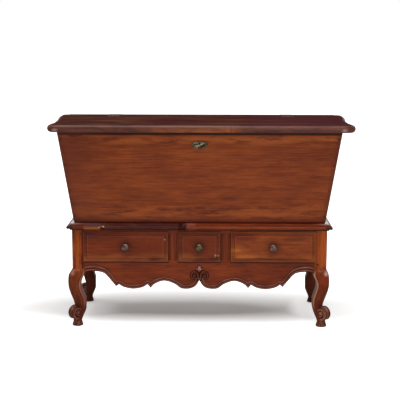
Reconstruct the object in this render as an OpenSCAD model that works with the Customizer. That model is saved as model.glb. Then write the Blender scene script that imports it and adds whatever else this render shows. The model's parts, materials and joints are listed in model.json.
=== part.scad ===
// Dough box: a splayed kneading trough with a hinged lid, on a stand with
// three drawers, a scalloped apron and four scroll-footed cabriole legs.
// Front faces -Y, right is +X, the floor is z = 0.

/* [Stand] */
// Width over the outer faces of the corner posts
stand_w = 1240; // [1180:5:1360]
// Depth over the outer faces of the corner posts
stand_d = 510; // [480:5:600]
// Height of the stand, from the floor to the underside of the waist moulding
stand_h = 483; // [470:1:520]
// Side of a square corner post
post_w = 60; // [56:1:66]
// Height of the drawer runners above the floor
bank_h = 332; // [324:1:340]
// Thickness of the top rail and of the kickers
top_rail_t = 15; // [13:1:20]
// Width of the top rail, front to back
top_rail_w = 50; // [44:1:54]
// Width of a muntin between two drawers
muntin_w = 61; // [50:1:70]
// Width of the centre drawer's opening
centre_w = 194; // [160:2:230]

/* [Legs] */
// Distance of the break between post and knee below the drawer runners' top
break_down = 44; // [38:1:52]
// Distance of the fullest part of the knee below that break
knee_down = 68; // [60:1:76]
// How far the knee stands out beyond the post's faces
knee_out = 14; // [8:1:20]
// Height of the thinnest part of the ankle
ankle_h = 106; // [100:1:114]
// How far the ankle lies inside the post's outer faces
ankle_in = 13; // [8:1:17]
// Thickness of the leg between knee and ankle
leg_t = 54; // [50:1:58]
// Radius of the rounded outer arris of the leg
arris_r = 12; // [6:1:18]
// Radius of the leg's other three corners
corner_r = 5; // [3:1:8]
// Diameter of the foot pad
pad_d = 54; // [50:1:60]
// Diameter of the waist between foot pad and scroll
pad_neck_d = 42; // [38:1:46]
// Height of the foot pad
pad_h = 31; // [26:1:34]
// Inset of the pad's centre from the post's outer faces
pad_in = 20; // [16:1:26]
// Diameter of the scroll of the foot
scroll_d = 70; // [62:1:74]
// Length of the scroll across the foot
scroll_w = 40; // [34:1:46]
// Height of the scroll's centre above the floor
scroll_h = 67; // [64:1:72]
// Distance of the scroll's centre outward from the pad's centre
scroll_out = 9; // [4:1:12]

/* [Rails and boards] */
// Thickness of the front apron
apron_t = 24; // [20:1:28]
// Depth of the apron at its lobes
apron_deep = 142; // [130:1:150]
// Depth of the arches between the apron's lobes
apron_rise = 40; // [30:1:46]
// Depth of the apron at the arches next to the legs
apron_end_deep = 57; // [50:1:62]
// Width of the raised band along the apron's lower edge
band_w = 12; // [8:1:16]
// How far the apron's band stands out
band_t = 1.5; // [1:0.5:3]
// Thickness of the side boards and of the back board
board_t = 22; // [18:1:26]
// How far side and back boards lie inside the posts' faces
board_set = 4; // [2:1:6]
// Distance of the back board's lower edge below the drawer runners' top
back_down = 66; // [60:1:76]
// Length of the tenons in the posts
tenon_l = 28; // [22:1:30]
// Thickness of the tenons in the posts
tenon_t = 10; // [8:1:12]
// Length of the stub tenons on runners, kickers and muntins
stub_l = 8; // [6:1:10]
// Thickness of the drawer runners
runner_t = 22; // [18:1:26]
// Width of runner under each drawer side
runner_w = 30; // [24:1:36]
// Height of the guides that keep the drawers straight
guide_h = 20; // [14:1:30]
// Diameter of the pegs in the stand
peg_d = 8; // [6:0.5:9]

/* [Waist moulding] */
// Thickness of the waist moulding
waist_t = 32; // [28:1:38]
// How far the moulding's nose stands out beyond the posts
waist_out = 24; // [18:1:30]
// How far the moulding reaches in over the posts
waist_in = 54; // [46:1:56]

/* [Trough] */
// Height of the trough's boards
trough_h = 448; // [420:2:480]
// Thickness of the trough's boards
trough_t = 22; // [18:1:26]
// Inset of the trough's foot from the posts' outer faces
trough_in = 10; // [6:1:16]
// How far each end leans out from bottom to top
end_flare = 69; // [50:1:80]
// How far front and back lean out from bottom to top
side_flare = 46; // [30:1:60]
// Diameter of the pegs that fix the trough's ends
trough_peg_d = 9; // [7:0.5:10]
// Number of pegs at each end of the front and back boards
trough_peg_n = 4; // [3:1:6]

/* [Lid] */
// Thickness of the lid
lid_t = 36.5; // [32:0.5:42]
// Overhang of the lid at its front edge
lid_front = 45; // [36:1:56]
// Overhang of the lid at its front corners, past the trough's ends
lid_side = 50; // [40:1:60]
// How far the lid's ends draw in at their waist
lid_waist = 14; // [6:1:20]
// How far the lid's rear corners stand out beyond its front corners
lid_tail = 8; // [0:1:12]
// Radius of the lid's front corners in plan
lid_front_r = 48; // [34:1:60]
// Radius of the lid's rear corners in plan
lid_rear_r = 40; // [30:1:60]
// Width of the lid's rounded nose
nose_w = 14; // [10:1:17]
// Depth of the quirk above the nose
quirk = 2.5; // [1:0.5:4]
// Width of the lid's front board
lid_front_board = 300; // [240:5:360]
// Width of the battens under the lid
batten_w = 60; // [50:1:80]
// Thickness of the battens under the lid
batten_t = 20; // [16:1:24]
// Distance of each batten from the middle of the lid
batten_x = 330; // [250:5:380]

/* [Drawers] */
// Space left between the drawers and the back board
drawer_short = 22; // [20:1:80]
// How far the drawer front's lip covers the frame
lip = 6; // [4:0.5:8]
// Thickness of the lip with its moulded edge
lip_t = 9; // [7:0.5:11]
// Thickness of the drawer front inside its opening
front_in_t = 15; // [13:1:18]
// Thickness of the drawer's sides and back
side_t = 12; // [10:1:14]
// Thickness of the drawer's bottom
bottom_t = 7; // [5:0.5:9]
// Height of the drawer bottom above the side's lower edge
bottom_up = 10; // [8:1:14]
// Number of dovetails at each corner
tails_n = 3; // [2:1:5]
// Length of the half-blind dovetails at the front
tail_l = 10; // [8:1:11]
// Diameter of the knobs
knob_d = 38; // [30:1:44]
// Projection of the knobs
knob_l = 27; // [22:1:34]
// Diameter of a knob's shank in the drawer front
shank_d = 7; // [6:0.5:9]

/* [Hinges] */
// Distance of each hinge from the middle of the lid
hinge_x = 450; // [420:5:560]
// Width of a hinge
hinge_w = 64; // [54:2:80]
// Length of the leaf let into the lid
leaf_l = 130; // [80:2:160]
// Length of the leaf on the trough's back
leaf_low_l = 90; // [60:2:120]
// Thickness of the hinge leaves
leaf_t = 3; // [2.5:0.5:3.5]
// Diameter of the hinge's barrel
barrel_d = 13; // [12:0.5:15]
// Diameter of the hinge pin
pin_d = 6; // [5:0.5:7]

/* [Lock] */
// Width of the lock case
lock_w = 120; // [116:2:140]
// Height of the lock case
lock_h = 60; // [58:1:70]
// Depth of the lock case
lock_t = 21; // [20:0.5:26]
// Wall of the lock case
lock_wall = 2; // [1.5:0.5:2.5]
// Diameter of the lock's bolt
bolt_d = 5; // [4.5:0.5:6]
// Length of the lock's bolt
bolt_l = 41; // [39:0.5:42]
// Play of the bolt in the staple's eye, above and below it
eye_play = 1.5; // [1:0.25:2]
// Length of the staple below the lid
staple_l = 19; // [17:0.5:22]
// Width of the escutcheon
plate_w = 78; // [60:1:90]
// Height of the escutcheon
plate_h = 38; // [34:1:46]
// Distance of the escutcheon's middle below the trough's top edge
plate_down = 61; // [58:1:64]
// Distance of the keyhole below the trough's top edge
key_down = 54; // [50:1:57]
// Diameter of the keyhole through the trough's front
key_d = 9; // [7:0.5:11]

/* [Clearances] */
// Gap between pieces that are glued or pegged together
joint_gap = 0.1; // [0.05:0.05:0.3]
// Gap under a drawer, on its runner
run_gap = 0.3; // [0.2:0.1:0.5]
// Gap at each side of a drawer
drawer_side_gap = 1; // [0.6:0.1:1.5]
// Gap above a drawer
drawer_top_gap = 3; // [2:0.5:4]
// Gap between the closed lid and the trough
lid_gap = 0.4; // [0.3:0.1:1]
// Radial gap round the hinge pins
pin_gap = 0.05; // [0.03:0.01:0.08]
// Gap between the knuckles of a hinge, and between barrel and lid
knuckle_gap = 0.4; // [0.3:0.1:0.8]

/* [Hidden] */
$fn = 48;

walnut = [0.43, 0.20, 0.11];
dark_walnut = [0.27, 0.15, 0.13];
plain_oak = [0.55, 0.38, 0.22];
old_brass = [0.42, 0.36, 0.24];
iron = [0.22, 0.20, 0.19];

// Stand
half_w = stand_w / 2;
half_d = stand_d / 2;
in_x = half_w - post_w;
in_y = half_d - post_w;
open_top = stand_h - top_rail_t;
open_h = open_top - bank_h;
side_w = in_x - centre_w / 2 - muntin_w;
side_x = in_x - side_w / 2;
apron_back_y = -half_d + apron_t;
back_in_y = half_d - board_set - board_t;
side_in_x = half_w - board_set - board_t;
rail_back_y = -half_d + top_rail_w;
break_h = bank_h - break_down;
knee_h = break_h - knee_down;
apron_h = bank_h - apron_deep;
apron_end_h = bank_h - apron_end_deep;
back_low_h = bank_h - back_down;
drawer_l = half_d + back_in_y - drawer_short;
shoulder = 8;            // wood left above and below a tenon
reach = 40;              // how far a cut runs on beyond the piece it cuts
// Trough
trough_z = stand_h + waist_t;
trough_top = trough_z + trough_h;
foot_x = half_w - trough_in;
foot_y = half_d - trough_in;
rim_x = foot_x + end_flare;
rim_y = foot_y + side_flare;
end_slope = end_flare / trough_h;
side_slope = side_flare / trough_h;
wall_x = trough_t * sqrt(1 + end_slope * end_slope);
wall_y = trough_t * sqrt(1 + side_slope * side_slope);
lean = atan(side_slope);
// Lid and hinges
lid_z = trough_top + lid_gap;
lid_top = lid_z + lid_t;
lid_front_y = -rim_y - lid_front;
lid_back_y = rim_y;
barrel_r = barrel_d / 2;
hinge_y = lid_back_y + knuckle_gap + barrel_r;
hinge_z = lid_top - barrel_r;
knuckle_mid_w = hinge_w * 0.4;
// The origin is the middle of the whole footprint
shift_y = -(lid_front_y + hinge_y + barrel_r) / 2;

module place() translate([0, shift_y, 0]) children();

// Helpers
function mix(a, b, t) = a + (b - a) * t;
function curve(p0, p1, p2, p3, t) = 0.5 * (2 * p1 + (p2 - p0) * t
    + (2 * p0 - 5 * p1 + 4 * p2 - p3) * t * t + (3 * p1 - p0 - 3 * p2 + p3) * t * t * t);
// A smooth line through every key, with n steps between two keys
function smooth(keys, n) = [
    for (i = [0 : len(keys) - 2], s = [0 : n - 1])
        curve(keys[max(i - 1, 0)], keys[i], keys[i + 1],
            keys[min(i + 2, len(keys) - 1)], s / n),
    keys[len(keys) - 1]];
function arc(c, r, from, to, n) = [
    for (i = [0 : n]) let (a = mix(from, to, i / n)) c + r * [cos(a), sin(a)]];
function mirrored(pts) = [for (i = [len(pts) - 1 : -1 : 0]) [-pts[i][0], pts[i][1]]];

// A box between two corners
module block(low, high) translate(low) cube(high - low);

// A closed skin over rings of points, each ring with the same count
module loft(rings) {
    n = len(rings[0]);
    m = len(rings);
    polyhedron(
        points = [for (ring = rings, p = ring) p],
        faces = concat(
            [[for (j = [0 : n - 1]) j]],
            [for (i = [0 : m - 2], j = [0 : n - 1]) each [
                [i * n + j, (i + 1) * n + j, i * n + (j + 1) % n],
                [i * n + (j + 1) % n, (i + 1) * n + j, (i + 1) * n + (j + 1) % n]]],
            [[for (j = [n - 1 : -1 : 0]) (m - 1) * n + j]]));
}

// LEGS. All four are one shape, drawn for the corner at +X +Y and mirrored.

// Height, outer face beyond the post, thickness, outer and inner corner radius
leg_keys = [
    [pad_h - 2, pad_neck_d / 2 - pad_in, pad_neck_d, pad_neck_d / 2, pad_neck_d / 2],
    [mix(pad_h, scroll_h, 0.4), -ankle_in * 0.15, leg_t * 0.83, leg_t * 0.37, leg_t * 0.3],
    [scroll_h, -ankle_in * 0.62, leg_t * 0.89, leg_t * 0.28, leg_t * 0.18],
    [mix(scroll_h, ankle_h, 0.6), -ankle_in, leg_t * 0.945, arris_r, corner_r * 1.4],
    [ankle_h, -ankle_in, leg_t * 0.98, arris_r, corner_r],
    [mix(ankle_h, knee_h, 0.23), -ankle_in * 0.54, leg_t, arris_r, corner_r],
    [mix(ankle_h, knee_h, 0.42), 0, leg_t, arris_r, corner_r],
    [mix(ankle_h, knee_h, 0.62), knee_out * 0.5, leg_t * 0.98, arris_r, corner_r],
    [mix(ankle_h, knee_h, 0.83), knee_out * 0.89, leg_t * 0.98, arris_r, corner_r],
    [knee_h, knee_out, leg_t, arris_r, corner_r],
    [mix(knee_h, break_h, 0.28), knee_out * 0.93, mix(leg_t, post_w, 0.83), arris_r, corner_r],
    [mix(knee_h, break_h, 0.55), knee_out * 0.71, post_w + knee_out * 0.36, arris_r, corner_r],
    [mix(knee_h, break_h, 0.8), knee_out * 0.39, post_w + knee_out * 0.39, arris_r * 0.7,
        corner_r],
    [break_h, knee_out * 0.04, post_w + knee_out * 0.04, arris_r * 0.2, corner_r * 0.4]];

// The inner faces never come out past the post's, where aprons and boards meet them
function leg_ring(k) = let (
        z = k[0],
        t = min(k[2], post_w + k[1]),
        hi = [half_w + k[1], half_d + k[1]],
        lo = hi - [t, t],
        ro = min(k[3], t / 2 - 0.5), ri = min(k[4], t / 2 - 0.5))
    [for (p = concat(
        arc(hi - [ro, ro], ro, 0, 90, 6),
        arc([lo[0] + ri, hi[1] - ri], ri, 90, 180, 4),
        arc(lo + [ri, ri], ri, 180, 270, 4),
        arc([hi[0] - ri, lo[1] + ri], ri, 270, 360, 4))) [p[0], p[1], z]];

module foot_pad() {
    toe = 5;
    translate([half_w - pad_in, half_d - pad_in, 0])
        rotate_extrude() polygon(concat(
            [[0, 0], [pad_d / 2 - toe, 0]],
            arc([pad_d / 2 - toe, toe], toe, -90, 10, 6),
            [[mix(pad_d, pad_neck_d, 0.55) / 2, pad_h * 0.45],
             [pad_neck_d / 2, pad_h * 0.8], [pad_neck_d / 2, pad_h], [0, pad_h]]));
}

// A groove that winds in towards the eye
function spiral(r0, r1, turns, from, n) = [
    for (i = [0 : n]) let (t = i / n, r = mix(r0, r1, t), a = from - 360 * turns * t)
        r * [cos(a), sin(a)]];
module volute_groove(depth) {
    groove_w = 3.2;
    outer = scroll_d / 2 - 5;
    eye = 9;
    steps = 40;
    linear_extrude(depth) polygon(concat(
        spiral(outer, eye, 1.6, 150, steps),
        [for (i = [steps : -1 : 0]) spiral(outer - groove_w, eye - groove_w * 0.7,
            1.6, 150, steps)[i]]));
}

module scroll() {
    rim = 3;
    depth = 3;
    at = pad_in - scroll_out / sqrt(2);
    translate([half_w - at, half_d - at, scroll_h]) rotate([0, 0, 45]) rotate([90, 0, 0])
        difference() {
            rotate_extrude() polygon(concat([[0, -scroll_w / 2]],
                arc([scroll_d / 2 - rim, rim - scroll_w / 2], rim, -90, 0, 4),
                arc([scroll_d / 2 - rim, scroll_w / 2 - rim], rim, 0, 90, 4),
                [[0, scroll_w / 2]]));
            translate([0, 0, scroll_w / 2 - depth]) volute_groove(depth * 2);
            translate([0, 0, -scroll_w / 2 - depth]) volute_groove(depth * 2);
        }
}

// Tenons, drawn for the corner at +X +Y. Each is drawn once: grown by the joint
// gap, and run on past the shoulder, it cuts its own mortise.
tenon_low = apron_end_h;
apron_tenon_y = apron_t / 2;
side_tenon_at = board_set + board_t / 2;
rail_tenon_t = top_rail_t - 8;
function root(grow) = grow > 0 ? reach : joint_gap + 1;
module tenon_x(mid_y, z0, z1, grow) block(
    [in_x - root(grow), mid_y - tenon_t / 2 - grow, z0 - grow],
    [in_x + tenon_l + grow, mid_y + tenon_t / 2 + grow, z1 + grow]);
module apron_tenon(grow) tenon_x(half_d - apron_tenon_y, tenon_low, bank_h - shoulder, grow);
module rail_tenon(grow) tenon_x(half_d - apron_tenon_y,
    stand_h - (top_rail_t + rail_tenon_t) / 2, stand_h - (top_rail_t - rail_tenon_t) / 2, grow);
module back_tenon(grow) tenon_x(half_d - side_tenon_at, tenon_low, stand_h - shoulder, grow);
module side_tenon(grow) block(
    [half_w - side_tenon_at - tenon_t / 2 - grow, in_y - root(grow), tenon_low - grow],
    [half_w - side_tenon_at + tenon_t / 2 + grow, in_y + tenon_l + grow,
        stand_h - shoulder + grow]);

// A peg along +z from the face it is driven into; grown, it is the peg's bore
peg_proud = 0.5;
module peg(d, length, grow) {
    out = grow > 0 ? reach : peg_proud;
    translate([0, 0, -out]) cylinder(r = d / 2 + grow, h = out + length + grow);
}
// Heights of the pegs, and how far in from the shoulder they sit
front_peg_z = [mix(tenon_low, bank_h - shoulder, 0.25), mix(tenon_low, bank_h - shoulder, 0.8)];
peg_step = 2 * peg_d;    // pegs from two sides keep this far apart in height
side_peg_z = [mix(front_peg_z[0], front_peg_z[1], 0.5), stand_h - shoulder - peg_step];
back_peg_z = [side_peg_z[0] + peg_step, side_peg_z[1] - peg_step];
peg_in = tenon_l / 2;
peg_l = post_w - 16;
module pegs_along_y(heights, grow) for (z = heights)
    translate([in_x + peg_in, half_d, z]) rotate([90, 0, 0]) peg(peg_d, peg_l, grow);
module front_pegs(grow) pegs_along_y(front_peg_z, grow);
module back_pegs(grow) pegs_along_y(back_peg_z, grow);
module side_pegs(grow) for (z = side_peg_z)
    translate([half_w, in_y + peg_in, z]) rotate([0, -90, 0])
        peg(peg_d, peg_l, grow);

module leg(front) {
    color(walnut) difference() {
        union() {
            block([in_x, in_y, break_h - 1], [half_w, half_d, stand_h]);
            loft([for (k = smooth(leg_keys, 3)) leg_ring(k)]);
            scroll();
            foot_pad();
        }
        side_tenon(joint_gap);
        side_pegs(joint_gap);
        if (front) {
            apron_tenon(joint_gap);
            rail_tenon(joint_gap);
            front_pegs(joint_gap);
        } else {
            back_tenon(joint_gap);
            back_pegs(joint_gap);
        }
    }
}
module leg_front_left() place() mirror([1, 0, 0]) mirror([0, 1, 0]) leg(true);
module leg_front_right() place() mirror([0, 1, 0]) leg(true);
module leg_back_left() place() mirror([1, 0, 0]) leg(false);
module leg_back_right() place() leg(false);

// Both sides of a thing that is drawn for +X
module both_x() {
    children();
    mirror([1, 0, 0]) children();
}
module both_y() {
    children();
    mirror([0, 1, 0]) children();
}

module pegs_front() place() color(dark_walnut)
    both_x() mirror([0, 1, 0]) front_pegs(0);
module pegs_back() place() color(dark_walnut)
    both_x() back_pegs(0);
module pegs_sides() place() color(dark_walnut)
    both_x() both_y() side_pegs(0);

// APRON. Half its lower edge, from the leg to the cusp in the middle:
// distance from the middle as a part of the span between the legs, and height.
arch_h = apron_h + apron_rise;
cusp_h = apron_h + apron_rise * 1.12;
notch_h = apron_h + apron_rise * 0.55;
tip_h = apron_h + apron_rise * 0.12;
apron_leg_arch = [[1, apron_end_h - 8], [0.965, apron_end_h], [0.9, apron_end_h + 1],
    [0.83, apron_end_h - 9], [0.77, arch_h], [0.728, tip_h + 6]];
apron_outer_lobe = [[0.703, notch_h], [0.66, apron_h + 8], [0.58, apron_h],
    [0.5, apron_h + 7], [0.452, notch_h]];
apron_inner_lobe = [[0.426, tip_h], [0.385, arch_h - 14], [0.305, arch_h],
    [0.22, arch_h - 14], [0.165, apron_h + 5], [0.112, apron_h],
    [0.065, apron_h + 6], [0.028, arch_h - 14], [0, cusp_h]];
function spread(pts, half) = [for (p = pts) [p[0] * half, p[1]]];
apron_edge = spread(concat(smooth(apron_leg_arch, 4), smooth(apron_outer_lobe, 4),
    smooth(apron_inner_lobe, 4)), in_x - joint_gap);
function without_last(pts) = [for (i = [0 : len(pts) - 2]) pts[i]];
function shifted(pts, up) = [for (p = pts) [p[0], p[1] + up]];

// A board that hangs from the height top, with its lower edge cut to a half outline
module hung_shape(edge, top) polygon(concat(
    [[edge[0][0], top]], without_last(edge), mirrored(edge), [[-edge[0][0], top]]));

module apron_front() place() color(walnut) difference() {
    union() {
        translate([0, -half_d + apron_t, 0]) rotate([90, 0, 0])
            linear_extrude(apron_t) hung_shape(apron_edge, bank_h);
        translate([0, -half_d, 0]) rotate([90, 0, 0]) linear_extrude(band_t)
            difference() {
                hung_shape(apron_edge, apron_end_h + 2 * band_w);
                hung_shape(shifted(apron_edge, band_w), bank_h);
            }
        both_x() mirror([0, 1, 0]) apron_tenon(0);
    }
    both_x() mirror([0, 1, 0]) front_pegs(joint_gap);
    for (x = muntin_xs) muntin_stub(x, bank_h, joint_gap);
    runner_stubs(joint_gap);
}

// MUNTINS AND TOP RAIL
muntin_x = centre_w / 2 + muntin_w / 2;
muntin_xs = [-muntin_x, muntin_x];
muntin_t = 20;
stub_t = 8;
stub_side = 8;
module muntin_stub(x, z, grow) block(
    [x - muntin_w / 2 + stub_side - grow, -half_d + muntin_t / 2 - stub_t / 2 - grow,
        z - stub_l - grow],
    [x + muntin_w / 2 - stub_side + grow, -half_d + muntin_t / 2 + stub_t / 2 + grow,
        z + stub_l + grow]);

module muntin(x) color(walnut) {
    bead = 2;
    bead_at = 9;
    difference() {
        union() {
            block([x - muntin_w / 2, -half_d, bank_h + joint_gap],
                [x + muntin_w / 2, -half_d + muntin_t, open_top - joint_gap]);
            muntin_stub(x, bank_h, 0);
            muntin_stub(x, open_top, 0);
        }
        for (s = [-1, 1])
            translate([x + s * (muntin_w / 2 - bead_at), -half_d, bank_h - stub_l])
                cylinder(r = bead, h = open_h + 2 * stub_l);
    }
}
module muntin_left() place() muntin(-muntin_x);
module muntin_right() place() muntin(muntin_x);

module top_rail() place() color(walnut) difference() {
    union() {
        block([-in_x + joint_gap, -half_d, open_top], [in_x - joint_gap, rail_back_y,
            stand_h - joint_gap]);
        both_x() mirror([0, 1, 0]) rail_tenon(0);
    }
    for (x = muntin_xs) muntin_stub(x, open_top, joint_gap);
    kicker_stubs(joint_gap);
}

// RUNNERS, GUIDES AND KICKERS
line_in = centre_w / 2 - runner_w;
line_out = centre_w / 2 + muntin_w + runner_w;
mid_line = [line_in, line_out];
edge_line = [in_x - runner_w - 6, in_x - joint_gap];
line_reach = 6;          // wood left beside a stub tenon
runner_z = bank_h - runner_t;
module line_stub(line, z0, z1, front_y, grow) block(
    [line[0] + line_reach - grow, front_y - stub_l - grow, z0 - grow],
    [line[1] - line_reach + grow, back_in_y + stub_l + grow, z1 + grow]);
module runner_stub(line, grow) line_stub(line, runner_z + 6, bank_h - 6, apron_back_y, grow);
module kicker_stub(line, grow) line_stub(line, open_top + 4, stand_h - 4, rail_back_y, grow);
module runner_stubs(grow) both_x() {
    runner_stub(mid_line, grow);
    runner_stub(edge_line, grow);
}
module kicker_stubs(grow) both_x() {
    kicker_stub(mid_line, grow);
    kicker_stub(edge_line, grow);
}

module runner_mid() {
    block([mid_line[0], apron_back_y + joint_gap, runner_z],
        [mid_line[1], back_in_y - joint_gap, bank_h]);
    block([centre_w / 2 + run_gap, apron_back_y + joint_gap, bank_h - 1],
        [centre_w / 2 + muntin_w - run_gap, back_in_y - joint_gap, bank_h + guide_h]);
    runner_stub(mid_line, 0);
}
module runner_edge() {
    block([edge_line[0], apron_back_y + joint_gap, runner_z],
        [edge_line[1], back_in_y - joint_gap, bank_h]);
    runner_stub(edge_line, 0);
}
module runner_left() place() color(plain_oak) mirror([1, 0, 0]) runner_edge();
module runner_right() place() color(plain_oak) runner_edge();
module runner_mid_left() place() color(plain_oak) mirror([1, 0, 0]) runner_mid();
module runner_mid_right() place() color(plain_oak) runner_mid();
module drawer_guides() place() color(plain_oak) both_x()
    block([in_x + run_gap, -in_y + joint_gap, runner_z],
        [side_in_x - joint_gap, in_y - joint_gap, bank_h + guide_h]);
module kickers() place() color(plain_oak) both_x()
    for (line = [mid_line, edge_line]) {
        block([line[0], rail_back_y + joint_gap, open_top],
            [line[1], back_in_y - joint_gap, stand_h - joint_gap]);
        kicker_stub(line, 0);
    }

// SIDE AND BACK BOARDS
side_arch = [[1, apron_end_h - 8], [0.9, apron_end_h], [0.74, apron_end_h - 4],
    [0.6, arch_h + 8], [0.53, notch_h]];
side_lobe = [[0.48, notch_h + 10], [0.38, apron_h + 24], [0.2, apron_h + 17],
    [0, apron_h + 15]];
side_edge = spread(concat(smooth(side_arch, 4), smooth(side_lobe, 4)), in_y - joint_gap);
module side_board() color(walnut) difference() {
    union() {
        translate([side_in_x, 0, 0]) rotate([90, 0, 90])
            linear_extrude(board_t) hung_shape(side_edge, stand_h - joint_gap);
        both_y() side_tenon(0);
    }
    both_y() side_pegs(joint_gap);
}
module side_board_left() place() mirror([1, 0, 0]) side_board();
module side_board_right() place() side_board();

module back_board() place() color(plain_oak) difference() {
    union() {
        block([-in_x + joint_gap, back_in_y, back_low_h],
            [in_x - joint_gap, half_d - board_set, stand_h - joint_gap]);
        both_x() back_tenon(0);
    }
    both_x() back_pegs(joint_gap);
    runner_stubs(joint_gap);
    kicker_stubs(joint_gap);
}

// WAIST MOULDING: distance out from the posts' faces, and height
waist_foot = 8;
waist_profile = concat(
    [[-waist_in, 0], [waist_foot, 0]],
    arc([waist_foot + 8, 0], 8, 180, 118, 4),
    arc([waist_out - 8.5, waist_t * 0.46], 8.5, -60, 75, 8),
    [[6, waist_t - 1.5], [4, waist_t], [-waist_in, waist_t]]);
// The profile stood up along y, and the plan of one mitred length
module waist_bar(length) rotate([90, 0, 0]) linear_extrude(length)
    scale([1, 1 - joint_gap / waist_t]) polygon(waist_profile);
module waist_length(half_length, half_span) translate([0, 0, stand_h + joint_gap])
    intersection() {
        translate([half_span, half_length + waist_out, 0]) waist_bar(2 * (half_length + waist_out));
        translate([0, 0, -1]) linear_extrude(waist_t + 2) polygon([
            [half_span + waist_out, -half_length - waist_out + joint_gap],
            [half_span + waist_out, half_length + waist_out - joint_gap],
            [half_span - waist_in - 1, half_length - waist_in - 1 - joint_gap],
            [half_span - waist_in - 1, -half_length + waist_in + 1 + joint_gap]]);
    }
module waist_front() place() color(walnut) rotate([0, 0, -90]) waist_length(half_w, half_d);
module waist_back() place() color(walnut) rotate([0, 0, 90]) waist_length(half_w, half_d);
module waist_end() color(walnut) waist_length(half_d, half_w);
module waist_left() place() mirror([1, 0, 0]) waist_end();
module waist_right() place() waist_end();

// TROUGH. x and y of its outer faces at a height above its foot
function out_x(h) = foot_x + end_slope * h;
function out_y(h) = foot_y + side_slope * h;

// A board between two pairs of lines: rings at the foot and at the top
function slab_ring(x0, x1, y0, y1, z) = [[x0, y0, z], [x1, y0, z], [x1, y1, z], [x0, y1, z]];
module trough_long() loft([for (h = [joint_gap, trough_h])
    slab_ring(-out_x(h), out_x(h), -out_y(h), -out_y(h) + wall_y, trough_z + h)]);
module trough_short() loft([for (h = [joint_gap, trough_h])
    let (y = out_y(h) - wall_y - joint_gap)
    slab_ring(out_x(h) - wall_x, out_x(h), -y, y, trough_z + h)]);
// Pegs through the front or back board into the ends' edges
peg_end_h = 36;
function trough_peg_h(i) = mix(peg_end_h, trough_h - peg_end_h, i / (trough_peg_n - 1));
trough_peg_l = trough_t * 2.3;
module trough_peg_row(grow) both_x()
    for (i = [0 : trough_peg_n - 1]) let (h = trough_peg_h(i))
        translate([out_x(h) - wall_x / 2, -out_y(h), trough_z + h])
            rotate([-90 + lean, 0, 0]) peg(trough_peg_d, trough_peg_l, grow);

module trough_front() place() color(walnut) difference() {
    trough_long();
    trough_peg_row(joint_gap);
    on_front(-reach) translate([0, -key_down, 0]) keyhole(key_d, 14, 2 * reach);
    lock_screws(screw_r + joint_gap);
    plate_pins(1 + joint_gap);
}
module trough_back() place() color(walnut) mirror([0, 1, 0]) difference() {
    trough_long();
    trough_peg_row(joint_gap);
}
module trough_end() color(walnut) difference() {
    trough_short();
    both_y() trough_peg_row(joint_gap);
}
module trough_end_left() place() mirror([1, 0, 0]) trough_end();
module trough_end_right() place() trough_end();
module trough_pegs() place() color(dark_walnut) both_y()
    trough_peg_row(0);

bottom_board_t = 20;
module trough_bottom(y0, y1, slope0, slope1) loft([for (h = [joint_gap, bottom_board_t])
    let (x = out_x(h) - wall_x - joint_gap)
    slab_ring(-x, x, y0 + slope0 * h, y1 + slope1 * h, trough_z + h)]);
module trough_bottom_front() place() color(plain_oak)
    trough_bottom(-foot_y + wall_y + joint_gap, -joint_gap / 2, -side_slope, 0);
module trough_bottom_rear() place() color(plain_oak)
    trough_bottom(joint_gap / 2, foot_y - wall_y - joint_gap, 0, side_slope);

// Moves a flat drawing onto the front board: x across, y up from the top edge,
// z outward from the board's outer face
module on_front(out) translate([0, -rim_y, trough_top]) rotate([90 + lean, 0, 0])
    translate([0, 0, out]) children();

// LOCK AND ESCUTCHEON
function ellipse(a, b, n) = [for (i = [0 : n - 1]) [a * cos(360 * i / n), b * sin(360 * i / n)]];
plate_t = 1.6;
// A round hole with a slot below it
module keyhole(d, slot_l, depth) {
    cylinder(r = d / 2, h = depth);
    translate([-d / 4, -slot_l, 0]) cube([d / 2, slot_l, depth]);
}
module plate_pins(r) for (s = [-1, 1])
    on_front(0) translate([s * (plate_w / 2 - 7), -plate_down, -8]) cylinder(r = r, h = 8 + plate_t);
module escutcheon() place() color(old_brass) {
    difference() {
        union() {
            on_front(joint_gap) translate([0, -plate_down, 0])
                linear_extrude(plate_t) polygon(ellipse(plate_w / 2, plate_h / 2, 40));
            on_front(plate_t) translate([0, -plate_down, 0]) linear_extrude(1.4) difference() {
                polygon(ellipse(plate_w / 2, plate_h / 2, 40));
                polygon(ellipse(plate_w / 2 - 2.5, plate_h / 2 - 2.5, 40));
            }
            plate_pins(1);
        }
        on_front(-1) translate([0, -key_down, 0]) keyhole(key_d - 2, 11, 8);
    }
}

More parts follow.
